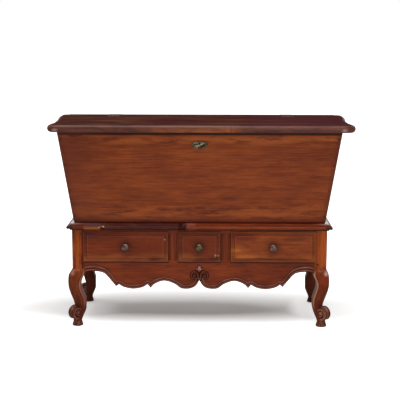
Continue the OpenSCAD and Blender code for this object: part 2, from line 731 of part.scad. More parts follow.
// Lock frame: x across, y up from the top edge, z inward from the board's inner face
module on_inside(in) on_front(-trough_t - in) children();
lock_drop = 8;
lock_end = 10;           // solid end of the case, where its screw goes through
screw_r = 1.5;
bolt_up = lock_drop + 10;
bolt_in = lock_t / 2;
bolt_rest_x = -8;        // tip of the bolt at rest
keeper_w = 4;
keeper_xs = [bolt_rest_x - 27, bolt_rest_x - 5];
talon_x = bolt_rest_x - 22.5;
bolt_play = 0.35;
slot_w = 9;
module lock_screws(r) for (s = [-1, 1], y = [-lock_drop - 7, -lock_drop - lock_h + 7])
    on_inside(lock_t) translate([s * (lock_w - lock_end) / 2, y, -1])
        cylinder(r = r, h = lock_t + trough_t * 0.6 + 1);
module lock_case() place() color(iron) difference() {
    union() {
        difference() {
            on_inside(lock_t) translate([-lock_w / 2, -lock_drop - lock_h, 0])
                cube([lock_w, lock_h, lock_t - joint_gap]);
            on_inside(lock_t) translate([lock_end - lock_w / 2,
                    -lock_drop - lock_h + lock_wall, lock_wall])
                cube([lock_w - 2 * lock_end, lock_h - 2 * lock_wall, lock_t]);
        }
        // Keepers that carry the bolt
        for (x = keeper_xs) on_inside(lock_t)
            translate([x, -bolt_up - bolt_d / 2 - 3, lock_wall - 1])
                cube([keeper_w, bolt_d + 6, lock_t - lock_wall]);
        lock_screws(screw_r);
    }
    // Slot for the staple
    on_inside(lock_t) translate([staple_x - slot_w / 2, -lock_drop - 2 * lock_wall, lock_wall + 1])
        cube([slot_w, 4 * lock_wall, lock_t - 2 * lock_wall - 1]);
    on_inside(bolt_in) translate([0, -bolt_up, 0]) rotate([0, 90, 0])
        cylinder(r = bolt_d / 2 + bolt_play, h = lock_w - 3 * lock_end, center = true);
}
// The talon that the key pushes stands up on the bolt between the keepers
module lock_bolt() place() color(iron) on_inside(bolt_in) translate([0, -bolt_up, 0])
    rotate([0, 90, 0]) {
        translate([0, 0, bolt_rest_x - bolt_l]) cylinder(r = bolt_d / 2, h = bolt_l);
        translate([0, 0, talon_x]) cylinder(r = bolt_d / 2 + 2, h = keeper_w);
    }

// The staple hangs from the lid into the lock's slot, and the bolt goes through its eye
staple_x = 2;
staple_t = 3;
staple_w = 12;
eye_w = bolt_d + 2 * eye_play;
staple_y = -rim_y + bolt_up * sin(lean) + (trough_t + bolt_in) * cos(lean);
eye_z = trough_top - bolt_up * cos(lean) + (trough_t + bolt_in) * sin(lean);
module lid_staple() place() color(iron) difference() {
    union() {
        block([staple_x - 30, staple_y - 9, lid_z - 2.5 - joint_gap],
            [staple_x + 30, staple_y + 9, lid_z - joint_gap]);
        block([staple_x - staple_t / 2, staple_y - staple_w / 2, lid_z - staple_l - 4],
            [staple_x + staple_t / 2, staple_y + staple_w / 2, lid_z - 1]);
    }
    translate([staple_x, staple_y, eye_z]) cube([20, eye_w, eye_w], center = true);
}

// LID. The right half of its outline in plan, from the front edge to behind the rear
lid_corner_x = rim_x + lid_side;
lid_rear_x = lid_corner_x + lid_tail;
lid_waist_x = lid_corner_x - lid_waist;
lid_split_y = lid_front_y + lid_front_board;
lid_steps = 4;
corner_n = 6;
lid_end = smooth([
    [lid_corner_x, lid_front_y + lid_front_r],
    [lid_waist_x + lid_waist * 0.35, mix(lid_front_y, lid_back_y, 0.188)],
    [lid_waist_x, mix(lid_front_y, lid_back_y, 0.34)],
    [mix(lid_waist_x, lid_rear_x, 0.12), lid_split_y],
    [mix(lid_waist_x, lid_rear_x, 0.35), mix(lid_front_y, lid_back_y, 0.6)],
    [mix(lid_waist_x, lid_rear_x, 0.88), mix(lid_front_y, lid_back_y, 0.78)],
    [lid_rear_x, lid_back_y - lid_rear_r - 10]], lid_steps);
lid_half = concat(
    arc([lid_corner_x - lid_front_r, lid_front_y + lid_front_r], lid_front_r, -90, -8, corner_n),
    lid_end,
    arc([lid_rear_x - lid_rear_r, lid_back_y - lid_rear_r + 2], lid_rear_r, 4, 82, corner_n),
    [[lid_rear_x - lid_rear_r * 1.2, lid_back_y + 2 * nose_w]]);
lid_split_i = corner_n + 1 + 3 * lid_steps;   // the point where the boards meet
lid_outline = concat(lid_half, mirrored(lid_half));
// The outline moved in by d along its own normals
function unit(v) = v / norm(v);
function inset(pts, d) = [for (i = [0 : len(pts) - 1]) let (
        n = len(pts),
        along = unit(pts[(i + 1) % n] - pts[(i + n - 1) % n]))
    pts[i] + d * [-along[1], along[0]]];
nose_r = (lid_t - quirk) / 2;
// Inset of the lid's edge and height above its underside, from below
nose_profile = concat(
    [for (a = [-90 : 18 : 90]) [nose_w * (1 - cos(a)), nose_r * (1 + sin(a))]],
    [[nose_w + 1, lid_t - 0.6], [nose_w + 2, lid_t]]);
// One board between two points of the outline, straight where the boards meet
// and at the rear
module lid_board(from, to, meet_y) loft([for (p = nose_profile) let (
        q = inset(lid_outline, p[0]),
        half = [for (i = [from : to])
            [q[i][0], i == lid_split_i ? meet_y : min(q[i][1], lid_back_y)]])
    [for (r = concat(half, mirrored(half))) [r[0], r[1], lid_z + p[1]]]]);
module lid_board_front() place() color(dark_walnut)
    lid_board(0, lid_split_i, lid_split_y - joint_gap / 2);
module lid_board_rear() place() color(dark_walnut) difference() {
    lid_board(lid_split_i, len(lid_half) - 1, lid_split_y + joint_gap / 2);
    for (s = [-1, 1]) translate([s * hinge_x, 0, 0])
        block([-hinge_w / 2 - joint_gap, lid_back_y - leaf_l - joint_gap,
                lid_top - leaf_t - joint_gap],
            [hinge_w / 2 + joint_gap, lid_back_y + 1, lid_top + 1]);
}
batten_end = 14;
module lid_battens() place() color(plain_oak) for (s = [-1, 1]) translate([s * batten_x, 0, 0])
    block([-batten_w / 2, -rim_y + wall_y + batten_end, lid_z - batten_t],
        [batten_w / 2, rim_y - wall_y - batten_end, lid_z - joint_gap]);

// HINGES. A strap leaf let into the lid, a leaf on the trough's back, and a pin
module knuckle(x0, x1, r) translate([x0, hinge_y, hinge_z]) rotate([0, 90, 0])
    cylinder(r = r, h = x1 - x0);
mid_half = knuckle_mid_w / 2;
module pin_bore() knuckle(-hinge_w, hinge_w, pin_d / 2 + pin_gap);
module lid_leaf() difference() {
    union() {
        block([-hinge_w / 2, lid_back_y - leaf_l, lid_top - leaf_t],
            [hinge_w / 2, lid_back_y - 1, lid_top]);
        block([-mid_half, lid_back_y - 2, lid_top - leaf_t], [mid_half, hinge_y, lid_top]);
        knuckle(-mid_half, mid_half, barrel_r);
    }
    pin_bore();
}
leaf_y = lid_back_y + knuckle_gap;
leaf_foot_z = trough_top - leaf_low_l;
leaf_bend_z = trough_top - 2;
module trough_leaf() difference() {
    union() {
        translate([-hinge_w / 2, 0, 0]) rotate([90, 0, 90]) linear_extrude(hinge_w) polygon([
            [leaf_y, hinge_z], [leaf_y, leaf_bend_z],
            [leaf_y - side_slope * (leaf_bend_z - leaf_foot_z), leaf_foot_z],
            [leaf_y - side_slope * (leaf_bend_z - leaf_foot_z) + leaf_t, leaf_foot_z],
            [leaf_y + leaf_t, leaf_bend_z], [leaf_y + leaf_t, hinge_z]]);
        for (s = [0, 1]) mirror([s, 0, 0]) knuckle(mid_half + knuckle_gap, hinge_w / 2, barrel_r);
    }
    block([-mid_half - knuckle_gap, lid_back_y - 1, hinge_z - barrel_r - 2 * knuckle_gap],
        [mid_half + knuckle_gap, hinge_y + barrel_r, hinge_z + barrel_r]);
    pin_bore();
}
module hinge_pin() {
    head = 1.6;
    knuckle(-hinge_w / 2 - head, hinge_w / 2 + head, pin_d / 2);
    for (s = [0, 1]) mirror([s, 0, 0])
        knuckle(hinge_w / 2 + pin_gap, hinge_w / 2 + head + pin_gap, pin_d / 2 + 1.2);
}
module at_hinges() for (s = [-1, 1]) translate([s * hinge_x, 0, 0]) children();
module hinge_leaves_lid() place() color(iron) at_hinges() lid_leaf();
module hinge_leaves_trough() place() color(iron) at_hinges() trough_leaf();
module hinge_pins() place() color(iron) at_hinges() hinge_pin();

// DRAWERS. Drawn round the middle of the opening: y = 0 is the frame's face
// and z = 0 the runner's top
lip_gap = 0.4;
box_h = open_h - run_gap - drawer_top_gap;
groove_d = 5;
slip = 0.15;
function box_w(w) = w - 2 * drawer_side_gap;
module drawer_at(x) place() translate([x, -half_d, bank_h]) children();

// The tails of one corner, seen from the side: y runs from the tip, z up
tail_flare = 0.28;
module tails(length, grow, z0, z1) {
    pitch = (z1 - z0) / tails_n;
    neck = pitch * 0.5;
    for (i = [0 : tails_n - 1]) let (c = z0 + pitch * (i + 0.5),
            tip = neck / 2 + length * tail_flare)
        polygon([[-grow, c - tip - grow], [length, c - neck / 2 - grow],
            [length + 1, c - neck / 2 - grow], [length + 1, c + neck / 2 + grow],
            [length, c + neck / 2 + grow], [-grow, c + tip + grow]]);
}
// Stands a side view up: x is the thickness, y and z as drawn
module side_view(x, y, t) translate([x, y, 0]) rotate([90, 0, 90]) linear_extrude(t) children();
back_y0 = drawer_l - side_t;
tails_z0 = bottom_up + bottom_t + 3;
tails_z1 = box_h;

module front_tails(w, grow) both_x()
    side_view(box_w(w) / 2 - side_t - grow, front_in_t - tail_l, side_t + 2 * grow)
        tails(tail_l, grow, tails_z0, tails_z1);
module back_tails(w, grow) both_x()
    side_view(box_w(w) / 2 - side_t - grow, back_y0, side_t + 2 * grow)
        mirror([1, 0]) translate([-side_t, 0]) tails(side_t, grow, tails_z0, tails_z1);

// A moulded panel: a rectangle that draws in along a quarter round
edge_r = lip_t - 2;
lip_profile = concat([[0, 0], [0, 1.5]],
    [for (a = [15 : 15 : 90]) [edge_r * (1 - cos(a)), 1.5 + edge_r * sin(a) * 0.78]],
    [[edge_r + 0.8, lip_t]]);
function lip_ring(w, p) = let (hw = w / 2 + lip - p[0], z0 = -lip + p[0], z1 = open_h + lip - p[0])
    [[-hw, -lip_gap - p[1], z0], [hw, -lip_gap - p[1], z0],
     [hw, -lip_gap - p[1], z1], [-hw, -lip_gap - p[1], z1]];

module drawer_front(w) color(walnut) translate([0, 0, run_gap]) difference() {
    union() {
        translate([0, 0, -run_gap]) loft([for (p = lip_profile) lip_ring(w, p)]);
        block([-box_w(w) / 2, -lip_gap - 1, 0], [box_w(w) / 2, front_in_t, box_h]);
    }
    front_tails(w, slip);
    block([-box_w(w) / 2 + side_t - groove_d, front_in_t - groove_d, bottom_up - slip],
        [box_w(w) / 2 - side_t + groove_d, front_in_t + 1, bottom_up + bottom_t + slip]);
    translate([0, -reach, open_h / 2 - run_gap]) rotate([-90, 0, 0])
        cylinder(r = shank_d / 2, h = 2 * reach);
}
module drawer_sides(w) color(plain_oak) translate([0, 0, run_gap]) difference() {
    union() {
        both_x() block([box_w(w) / 2 - side_t, front_in_t + slip, 0],
            [box_w(w) / 2, back_y0 - slip, box_h]);
        front_tails(w, 0);
        back_tails(w, 0);
    }
    block([-box_w(w) / 2 + side_t - groove_d, 0, bottom_up - slip],
        [box_w(w) / 2 - side_t + groove_d, drawer_l + 1, bottom_up + bottom_t + slip]);
}
module drawer_back(w) color(plain_oak) translate([0, 0, run_gap]) difference() {
    block([-box_w(w) / 2, back_y0, bottom_up + bottom_t + slip], [box_w(w) / 2, drawer_l, box_h]);
    back_tails(w, slip);
}
module drawer_bottom(w) color(plain_oak) translate([0, 0, run_gap])
    block([-box_w(w) / 2 + side_t - groove_d + slip, front_in_t - groove_d + slip, bottom_up],
        [box_w(w) / 2 - side_t + groove_d - slip, drawer_l, bottom_up + bottom_t]);
module drawer_knob() color(old_brass) translate([0, -lip_gap - lip_t - joint_gap, open_h / 2])
    rotate([90, 0, 0]) rotate_extrude() polygon(concat(
        [[0, -front_in_t], [shank_d / 2 - pin_gap, -front_in_t], [shank_d / 2 - pin_gap, 0],
         [knob_d * 0.36, 0], [knob_d * 0.36, 1], [knob_d * 0.3, 2.4],
         [knob_d * 0.17, 4], [knob_d * 0.14, knob_l * 0.35], [knob_d * 0.2, knob_l * 0.48]],
        arc([knob_d / 2 - 5, knob_l * 0.66], 5, -60, 70, 7),
        [[knob_d * 0.3, knob_l * 0.93], [knob_d * 0.17, knob_l], [knob_d * 0.09, knob_l * 0.99],
         [knob_d * 0.06, knob_l * 0.95], [0, knob_l * 0.93]]));

module drawer_left_front() drawer_at(-side_x) drawer_front(side_w);
module drawer_left_sides() drawer_at(-side_x) drawer_sides(side_w);
module drawer_left_back() drawer_at(-side_x) drawer_back(side_w);
module drawer_left_bottom() drawer_at(-side_x) drawer_bottom(side_w);
module drawer_left_knob() drawer_at(-side_x) drawer_knob();
module drawer_centre_front() drawer_at(0) drawer_front(centre_w);
module drawer_centre_sides() drawer_at(0) drawer_sides(centre_w);
module drawer_centre_back() drawer_at(0) drawer_back(centre_w);
module drawer_centre_bottom() drawer_at(0) drawer_bottom(centre_w);
module drawer_centre_knob() drawer_at(0) drawer_knob();
module drawer_right_front() drawer_at(side_x) drawer_front(side_w);
module drawer_right_sides() drawer_at(side_x) drawer_sides(side_w);
module drawer_right_back() drawer_at(side_x) drawer_back(side_w);
module drawer_right_bottom() drawer_at(side_x) drawer_bottom(side_w);
module drawer_right_knob() drawer_at(side_x) drawer_knob();

leg_front_left();
leg_front_right();
leg_back_left();
leg_back_right();
apron_front();
side_board_left();
side_board_right();
back_board();
top_rail();
muntin_left();
muntin_right();
runner_left();
runner_mid_left();
runner_mid_right();
runner_right();
drawer_guides();
kickers();
waist_front();
waist_back();
waist_left();
waist_right();
pegs_front();
pegs_sides();
pegs_back();
trough_front();
trough_back();
trough_end_left();
trough_end_right();
trough_bottom_front();
trough_bottom_rear();
trough_pegs();
escutcheon();
lock_case();
lock_bolt();
lid_staple();
lid_board_front();
lid_board_rear();
lid_battens();
hinge_leaves_lid();
hinge_leaves_trough();
hinge_pins();
drawer_left_front();
drawer_left_sides();
drawer_left_back();
drawer_left_bottom();
drawer_left_knob();
drawer_centre_front();
drawer_centre_sides();
drawer_centre_back();
drawer_centre_bottom();
drawer_centre_knob();
drawer_right_front();
drawer_right_sides();
drawer_right_back();
drawer_right_bottom();
drawer_right_knob();
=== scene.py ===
# %% [markdown]
# # A kneading trough on a carved stand
# This lesson dresses a finished CAD model: a dough box with a hinged lid, three
# drawers and four scroll feet. The CAD part gives every size and every joint. Here
# we add what a maker's hands and two centuries of use add: eased edges, carving,
# wood grain, wax, worn brass. We start by loading the CAD model as a fixed frame.

# %% Load the frame
import json
import math
import random

import bmesh
import bpy
import numpy as np
from mathutils import Matrix, Vector, noise

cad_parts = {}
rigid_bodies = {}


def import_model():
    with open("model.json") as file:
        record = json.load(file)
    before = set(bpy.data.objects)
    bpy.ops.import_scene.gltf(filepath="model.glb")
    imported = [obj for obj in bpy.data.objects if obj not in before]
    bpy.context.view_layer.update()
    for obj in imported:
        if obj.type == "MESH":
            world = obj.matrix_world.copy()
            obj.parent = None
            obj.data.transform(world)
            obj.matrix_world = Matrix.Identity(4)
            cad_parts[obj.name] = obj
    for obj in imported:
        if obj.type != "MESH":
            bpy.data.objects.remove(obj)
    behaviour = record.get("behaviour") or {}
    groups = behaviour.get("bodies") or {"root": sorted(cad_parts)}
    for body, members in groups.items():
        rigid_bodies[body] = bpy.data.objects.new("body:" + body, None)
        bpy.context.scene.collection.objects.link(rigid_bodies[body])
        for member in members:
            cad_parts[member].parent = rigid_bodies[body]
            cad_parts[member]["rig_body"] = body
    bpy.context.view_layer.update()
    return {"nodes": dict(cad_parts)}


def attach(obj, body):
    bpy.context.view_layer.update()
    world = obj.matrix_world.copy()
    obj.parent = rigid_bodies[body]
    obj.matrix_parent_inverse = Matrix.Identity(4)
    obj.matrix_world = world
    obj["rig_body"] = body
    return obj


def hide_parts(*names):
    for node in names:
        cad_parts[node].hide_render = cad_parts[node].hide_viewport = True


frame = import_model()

# %% [markdown]
# ## The camera
# The photograph was taken from a little over five metres with a long lens, from
# just above the lid and almost square to the front. A camera is three numbers for
# its place, three for its turn and one for its lens. We build its axes by hand,
# because a matrix with the right, up and back directions in its columns is the
# plainest way to say where a camera looks.

# %% Camera
EYE = Vector((0.0558, -5.2470, 1.4509))
DOWN, LEFT, TILT = (math.radians(a) for a in (9.294, 0.61, 0.115))
FOCAL_MM, SENSOR_MM = 94.65, 36

ahead = Vector((-math.sin(LEFT) * math.cos(DOWN), math.cos(LEFT) * math.cos(DOWN),
                -math.sin(DOWN)))
level = Vector((math.cos(LEFT), math.sin(LEFT), 0))
upright = level.cross(ahead)
right = math.cos(TILT) * level + math.sin(TILT) * upright
top = math.cos(TILT) * upright - math.sin(TILT) * level

camera = bpy.data.objects.new("camera", bpy.data.cameras.new("camera"))
camera.data.lens = FOCAL_MM
camera.data.sensor_width = SENSOR_MM
camera.matrix_world = (Matrix.Translation(EYE)
                       @ Matrix((right, top, -ahead)).transposed().to_4x4())
bpy.context.scene.collection.objects.link(camera)
bpy.context.scene.camera = camera
bpy.context.scene.view_settings.view_transform = "Standard"
print("camera at", tuple(EYE), "lens", FOCAL_MM, "mm")

# %% [markdown]
# ## Shader sums in plain Python
# A material in Blender is a graph of nodes. Wired by hand it soon fills a page, so
# one small class wraps an output socket and lets us write `1 - mask` or
# `grain * 0.5 + streak`. Each such sum adds a Math node. Colours and vectors must
# not pass a Math node, which turns them grey, so they have calls of their own.

# %% A wire that can be calculated with
def pick(sockets, name):
    """A node's socket by its number, name or identifier."""
    if isinstance(name, int):
        return sockets[name]
    return next(s for s in sockets if name in (s.name, s.identifier) and s.enabled)


class Wire:
    """One output socket of a node, or, with no socket, the start of a graph."""

    def __init__(self, tree, socket=None):
        self.tree, self.socket = tree, socket

    def node(self, kind, settings=None, inputs=None, out=0):
        made = self.tree.nodes.new("ShaderNode" + kind)
        for name, value in (settings or {}).items():
            if name == "stops":
                ramp = made.color_ramp.elements
                while len(ramp) < len(value):
                    ramp.new(0.5)
                for stop, (place, colour) in zip(ramp, value):
                    stop.position, stop.color = place, (*colour, 1)
            else:
                setattr(made, name, value)
        for name, value in (inputs or {}).items():
            socket = pick(made.inputs, name)
            if isinstance(value, Wire):
                self.tree.links.new(value.socket, socket)
            else:
                socket.default_value = value
        return Wire(self.tree, pick(made.outputs, out))

    def math(self, operation, *values):
        return self.node("Math", {"operation": operation}, dict(enumerate(values)))

    def __add__(self, other):
        return self.math("ADD", self, other)

    def __sub__(self, other):
        return self.math("SUBTRACT", self, other)

    def __rsub__(self, other):
        return self.math("SUBTRACT", other, self)

    def __mul__(self, other):
        return self.math("MULTIPLY", self, other)

    __radd__, __rmul__ = __add__, __mul__

    def __abs__(self):
        return self.math("ABSOLUTE", self)

    def larger(self, other):
        return self.math("MAXIMUM", self, other)

    def rise(self, low, high):
        """0 at low, 1 at high and beyond, and a soft step between. low may be the larger."""
        return self.node("MapRange", {"interpolation_type": "SMOOTHSTEP"},
                         {0: self, 1: low, 2: high})

    def near(self, value, reach):
        """1 where the number is close to value, and 0 from reach on."""
        return abs(self - value).rise(reach, 0.0)

    def mix(self, a, b):
        """Colour a where this is 0, colour b where it is 1."""
        a, b = (c if isinstance(c, Wire) else (*c, 1) for c in (a, b))
        return self.node("Mix", {"data_type": "RGBA"},
                         {"Factor_Float": self, "A_Color": a, "B_Color": b}, "Result_Color")

    def parts(self):
        """The x, y and z of a vector, as three wires."""
        return [self.node("SeparateXYZ", None, {0: self}, axis) for axis in "XYZ"]

    def length(self):
        return self.node("VectorMath", {"operation": "LENGTH"}, {0: self}, "Value")

    def scaled(self, by):
        return self.node("VectorMath", {"operation": "MULTIPLY"}, {0: self, 1: by})

    def shifted(self, by):
        return self.node("VectorMath", {"operation": "ADD"}, {0: self, 1: by})

    def noise(self, scale=1.0, detail=2.0, rough=0.5, out=0):
        return self.node("TexNoise", None, {"Vector": self, "Scale": scale, "Detail": detail,
                                            "Roughness": rough}, out)

    def streaky(self, along, k, *noise, **more):
        """Noise that is drawn out along one axis, where a way counts only k times."""
        return self.scaled([k if a == along else 1 for a in range(3)]).noise(*noise, **more)


def new_material(name):
    """A material with its shader, and the place of each surface point in metres."""
    material = bpy.data.materials.new(name)
    material.use_nodes = True
    tree = material.node_tree
    place = Wire(tree).node("TexCoord", out="Object")
    return material, tree.nodes["Principled BSDF"], place


def plug(shader, **sockets):
    """Gives a shader's sockets plain values or wires. Base_Color stands for Base Color."""
    for name, value in sockets.items():
        socket = shader.inputs[name.replace("_", " ")]
        if isinstance(value, Wire):
            value.tree.links.new(value.socket, socket)
        else:
            socket.default_value = value


def tone(r, g, b):
    """A colour as read off a screen, 0 to 255, as the linear light Blender wants."""
    return tuple(((c / 255 + 0.055) / 1.055) ** 2.4 if c > 10 else c / 255 / 12.92
                 for c in (r, g, b))


print("a mid walnut in linear light:", [round(c, 3) for c in tone(120, 57, 30)])

# %% [markdown]
# ## Wood
# Sawn wood is a slice through a bundle of growth rings. So we don't paint stripes:
# we imagine the pith of the tree as a line beside the board, measure each point's
# distance from it, and let a one-dimensional noise of that distance choose light
# or dark wood. Where the board lies close to the pith the rings open into wide
# tongues, as on a real plank. Streaks, fibres and pores, all stretched along the
# grain, break the rings up. Every board gets its own seed, so no two are alike.
# The pieces that we model below also carry two painted marks on their points: the
# first where dirt and old wax collect and where shade is painted, the second where
# hands polish the wood and where highlights are painted.

# %% Wood grain
X, Y, Z = range(3)
RING_SCALE, STREAK_SCALE, FIBRE_SCALE, PORE_SCALE = 40, 46, 180, 1100
PITH_REACH = 0.16     # the tree's middle lies about this far from the board, in metres
WANDER = 0.11         # how far a ring strays from its circle, in metres
# The first mark darkens with dirt and painted shade, the second lightens with wear and painted
# highlights.
MARKS = "hollow", "worn"


def grain(place, along, seed):
    """Ring, streak, fibre and pore patterns of one board, with its grain along one axis."""
    draw = random.Random(seed)
    pith = [draw.uniform(-0.5, 0.5) * PITH_REACH for _ in range(3)]
    depth = X if along == Y else Y
    pith[depth] = draw.choice((-1, 1)) * PITH_REACH * draw.uniform(0.45, 0.9)
    pith[along] = 0
    start = place.shifted([draw.uniform(-9, 9) if a == along else 0 for a in range(3)])
    bend = start.streaky(along, 0.35, 2.6, out="Color")
    across = place.scaled([0 if a == along else 1 for a in range(3)])
    across = across.shifted(bend.scaled((WANDER,) * 3))
    ring = across.node("VectorMath", {"operation": "DISTANCE"},
                       {0: across, 1: [p + WANDER / 2 for p in pith]}, "Value")
    rings = ring.node("TexNoise", {"noise_dimensions": "1D"},
                      {"W": ring * RING_SCALE, "Detail": 4, "Roughness": 0.55})
    streaks = start.streaky(along, 0.15, STREAK_SCALE, 5, 0.72)
    fibres = start.streaky(along, 0.05, FIBRE_SCALE, 4, 0.65)
    pores = start.streaky(along, 0.03, PORE_SCALE).rise(0.6, 0.7)
    return rings, streaks, fibres, pores


def flecks(place, along, seed, scale=44.0, low=0.54, high=0.64):
    """Short dark flames along the grain, as burr and old stains leave them."""
    moved = place.shifted([seed * 1.37 % 5, seed * 0.71 % 3, seed * 0.53 % 4])
    return moved.streaky(along, 0.16, scale, 4, 0.66).rise(low, high)


def marks_on(place):
    return [place.node("Attribute", {"attribute_name": mark}, None, "Fac") for mark in MARKS]


def wood(name, along, tones, seed, rough=0.42, coat=0.08, specular=0.10, wear_and_painted_light=None, rub_and_highlight=None):
    """Waxed or bare wood. A wear function, if given, changes colour, roughness and wax by place,
    and several of them paint shade and highlights.
    """
    material, shader, place = new_material(name)
    rings, streaks, fibres, pores = grain(place, along, seed)
    patches = place.shifted([seed * 3.1 % 7, 0, 0]).streaky(along, 0.4, 6, 3, 0.55)
    value = ((rings - 0.5) * 0.4 + (streaks - 0.5) * 0.85 + (fibres - 0.5) * 0.7
             + (patches - 0.5) * 0.9 + 0.5)
    dark, middle, light = tones
    colour = value.node("ValToRGB", {"stops": [(0.14, dark), (0.5, middle), (0.88, light)]},
                        {0: value})
    colour = (pores * 0.4).mix(colour, [c * 0.4 for c in dark])
    roughness = (streaks - 0.5) * 0.16 + (patches - 0.5) * 0.2 + rough
    if wear_and_painted_light:
        colour, roughness, coat = wear_and_painted_light(place, colour, roughness, coat)
    hollow, worn = marks_on(place)
    # Dirt and painted shade darken by the first mark, wear and painted highlights lighten by the
    # second.
    colour = (hollow * 0.8).mix(colour, [c * 0.2 for c in dark])
    colour = (worn * (streaks * 0.8 + 0.25)).mix(colour, rub_and_highlight or [c * 1.2 for c in light])
    height = fibres * 0.35 + streaks * 0.5 - pores * 0.8 + patches * 2.0
    plug(shader, Base_Color=colour, Roughness=roughness + hollow * 0.3,
         Specular_IOR_Level=specular, Coat_Weight=coat, Coat_Roughness=0.25,
         Normal=height.node("Bump", None, {"Strength": 0.35, "Distance": 0.0006,
                                           "Height": height}))
    return material


WALNUT = (tone(88, 34, 12), tone(124, 54, 20), tone(154, 76, 31))
WALNUT_RED = (tone(76, 28, 9), tone(110, 42, 14), tone(138, 60, 21))
WALNUT_DARK = (tone(48, 19, 11), tone(78, 32, 17), tone(104, 49, 26))
ORANGE = (tone(80, 31, 10), tone(138, 60, 22), tone(172, 88, 38))
LID = (tone(40, 17, 18), tone(60, 32, 28), tone(88, 54, 40))
BARE = (tone(116, 78, 50), tone(154, 114, 78), tone(182, 144, 106))
AGED = (tone(72, 46, 30), tone(106, 70, 45), tone(134, 94, 64))
PEG_END = (tone(22, 10, 8), tone(40, 18, 12), tone(60, 28, 18))
print("tones for 8 kinds of wood")

# %% [markdown]
# ## Floor, backdrop and light
# The piece stood in front of a white sweep, in a room that was dark behind the
# camera. White comes from what the camera sees, not from more light: the world is a
# plain grey lamp for the wood, pure white for the camera, and for reflections white
# only where the sweep is. A dark front keeps the polish from greying the walnut. The
# floor is pale and takes a real shadow, with a little glow that only the camera sees
# and that grows with the distance, so that floor and backdrop melt into each other.
# The distance is measured from the middle of the shadow, a little left of and behind
# the piece, and it counts for more to the front than to the sides: that gives the
# shadow its long, flat shape. Past the feet the floor glows a little at once.

# %% World
scene = bpy.context.scene
FRONT_GREY, BACK_GREY = 0.30, 0.75
ROOM_DIM = 0.08


def ray_kind(tree, name):
    return Wire(tree).node("LightPath", out=name)


world = bpy.data.worlds.new("studio")
scene.world = world
world.use_nodes = True
sky = world.node_tree
sky.nodes.clear()
direction = Wire(sky).node("TexCoord", out="Generated")
behind = direction.node("SeparateXYZ", None, {0: direction}, "Y").rise(-0.15, 0.5)
mirrored = ray_kind(sky, "Is Glossy Ray").larger(ray_kind(sky, "Is Transmission Ray"))
seen = ray_kind(sky, "Is Camera Ray")
plain = behind * (BACK_GREY - FRONT_GREY) + FRONT_GREY
shown = behind * (1.0 - ROOM_DIM) + ROOM_DIM
light = (1 - mirrored) * plain + mirrored * shown
light = light * (1 - seen) + seen
backdrop = light.mix((0, 0, 0), (1, 1, 1))
background = backdrop.node("Background", None, {"Color": backdrop, "Strength": 1.0})
sky.links.new(background.socket, sky.nodes.new("ShaderNodeOutputWorld").inputs["Surface"])
print("world from grey", FRONT_GREY, "in front to", BACK_GREY, "behind")

# %% Floor
FLOOR_TONE, FLOOR_HALF = 0.86, 60.0
SHADOW_MIDDLE = Vector((-0.04, 0.09, 0))
TO_RIGHT, TO_LEFT, TO_BACK, TO_FRONT = 0.7, -0.5, 1.75, -3.3   # what a metre counts for
BACK_START = 0.09
GLOW_STARTS, GLOW_FULL, GLOW_LEAST = 0.28, 1.15, 0.02
PAST_RIGHT, PAST_LEFT = (0.40, 0.53), (-0.36, -0.54)           # where the feet end
PAST_RIGHT_GLOW, PAST_LEFT_GLOW = 0.45, 0.2

floor_mesh = bpy.data.meshes.new("floor")
floor_mesh.from_pydata([(x * FLOOR_HALF, y * FLOOR_HALF, 0)
                        for x, y in ((-1, -1), (1, -1), (1, 1), (-1, 1))], [], [(0, 1, 2, 3)])
floor = bpy.data.objects.new("floor", floor_mesh)
scene.collection.objects.link(floor)
pale, pale_shader, on_floor = new_material("pale floor")
across, back, _ = on_floor.shifted(-SHADOW_MIDDLE).parts()
across = (across * TO_RIGHT).larger(across * TO_LEFT)
back = (back * TO_BACK + BACK_START).larger(back * TO_FRONT)
squared = across * across + back * back
far = squared.math("SQRT", squared)
far = far.node("MapRange", None, {0: far, 1: GLOW_STARTS, 2: GLOW_FULL})
along = on_floor.parts()[0]
ends = along.rise(*PAST_RIGHT) * PAST_RIGHT_GLOW + along.rise(*PAST_LEFT) * PAST_LEFT_GLOW
glow = (far * (1 - GLOW_LEAST) + GLOW_LEAST).larger(ends)
glow = glow * ray_kind(pale.node_tree, "Is Camera Ray")
plug(pale_shader, Base_Color=(FLOOR_TONE, FLOOR_TONE, FLOOR_TONE * 0.99, 1), Roughness=0.9,
     Specular_IOR_Level=0.1, Emission_Strength=1.0,
     Emission_Color=glow.mix((0, 0, 0), (1, 1, 1)))
floor_mesh.materials.append(pale)
print("floor of", 2 * FLOOR_HALF, "m, its glow full at", GLOW_FULL)


# %% Softboxes
def softbox(name, place, aim, width, height, watts):
    """A big flat lamp that faces a point."""
    lamp = bpy.data.lights.new(name, "AREA")
    lamp.shape, lamp.size, lamp.size_y, lamp.energy = "RECTANGLE", width, height, watts
    made = bpy.data.objects.new(name, lamp)
    made.location = place
    made.rotation_euler = (Vector(aim) - Vector(place)).to_track_quat("-Z", "Y").to_euler()
    scene.collection.objects.link(made)


softbox("overhead softbox", (-0.3, -0.8, 3.4), (0, -0.1, 0), 3.2, 2.2, 92)
softbox("front softbox", (1.5, -4.4, 2.2), (0.1, 0, 0.5), 2.2, 1.6, 52)
print("two softboxes")

# %% [markdown]
# ## What use has done to the wood, and painted light
# Waxed wood darkens where dirt stays and brightens where it is rubbed. Some stains
# are painted light and shade instead: shadows under the lid and the drawers' lips,
# shade on dark tips and hollows, highlights, glints and reflections. We lay them all
# over the grain as a stack of stains. Each stain is a mask, a strength and a tone,
# and it lies over the ones before it. The masks are made from a point's height and
# place, so that the foot of a board, its rim or the reach of a hand can be told
# apart. Inside, the baker has scrubbed the wax off, and the wood is bare.

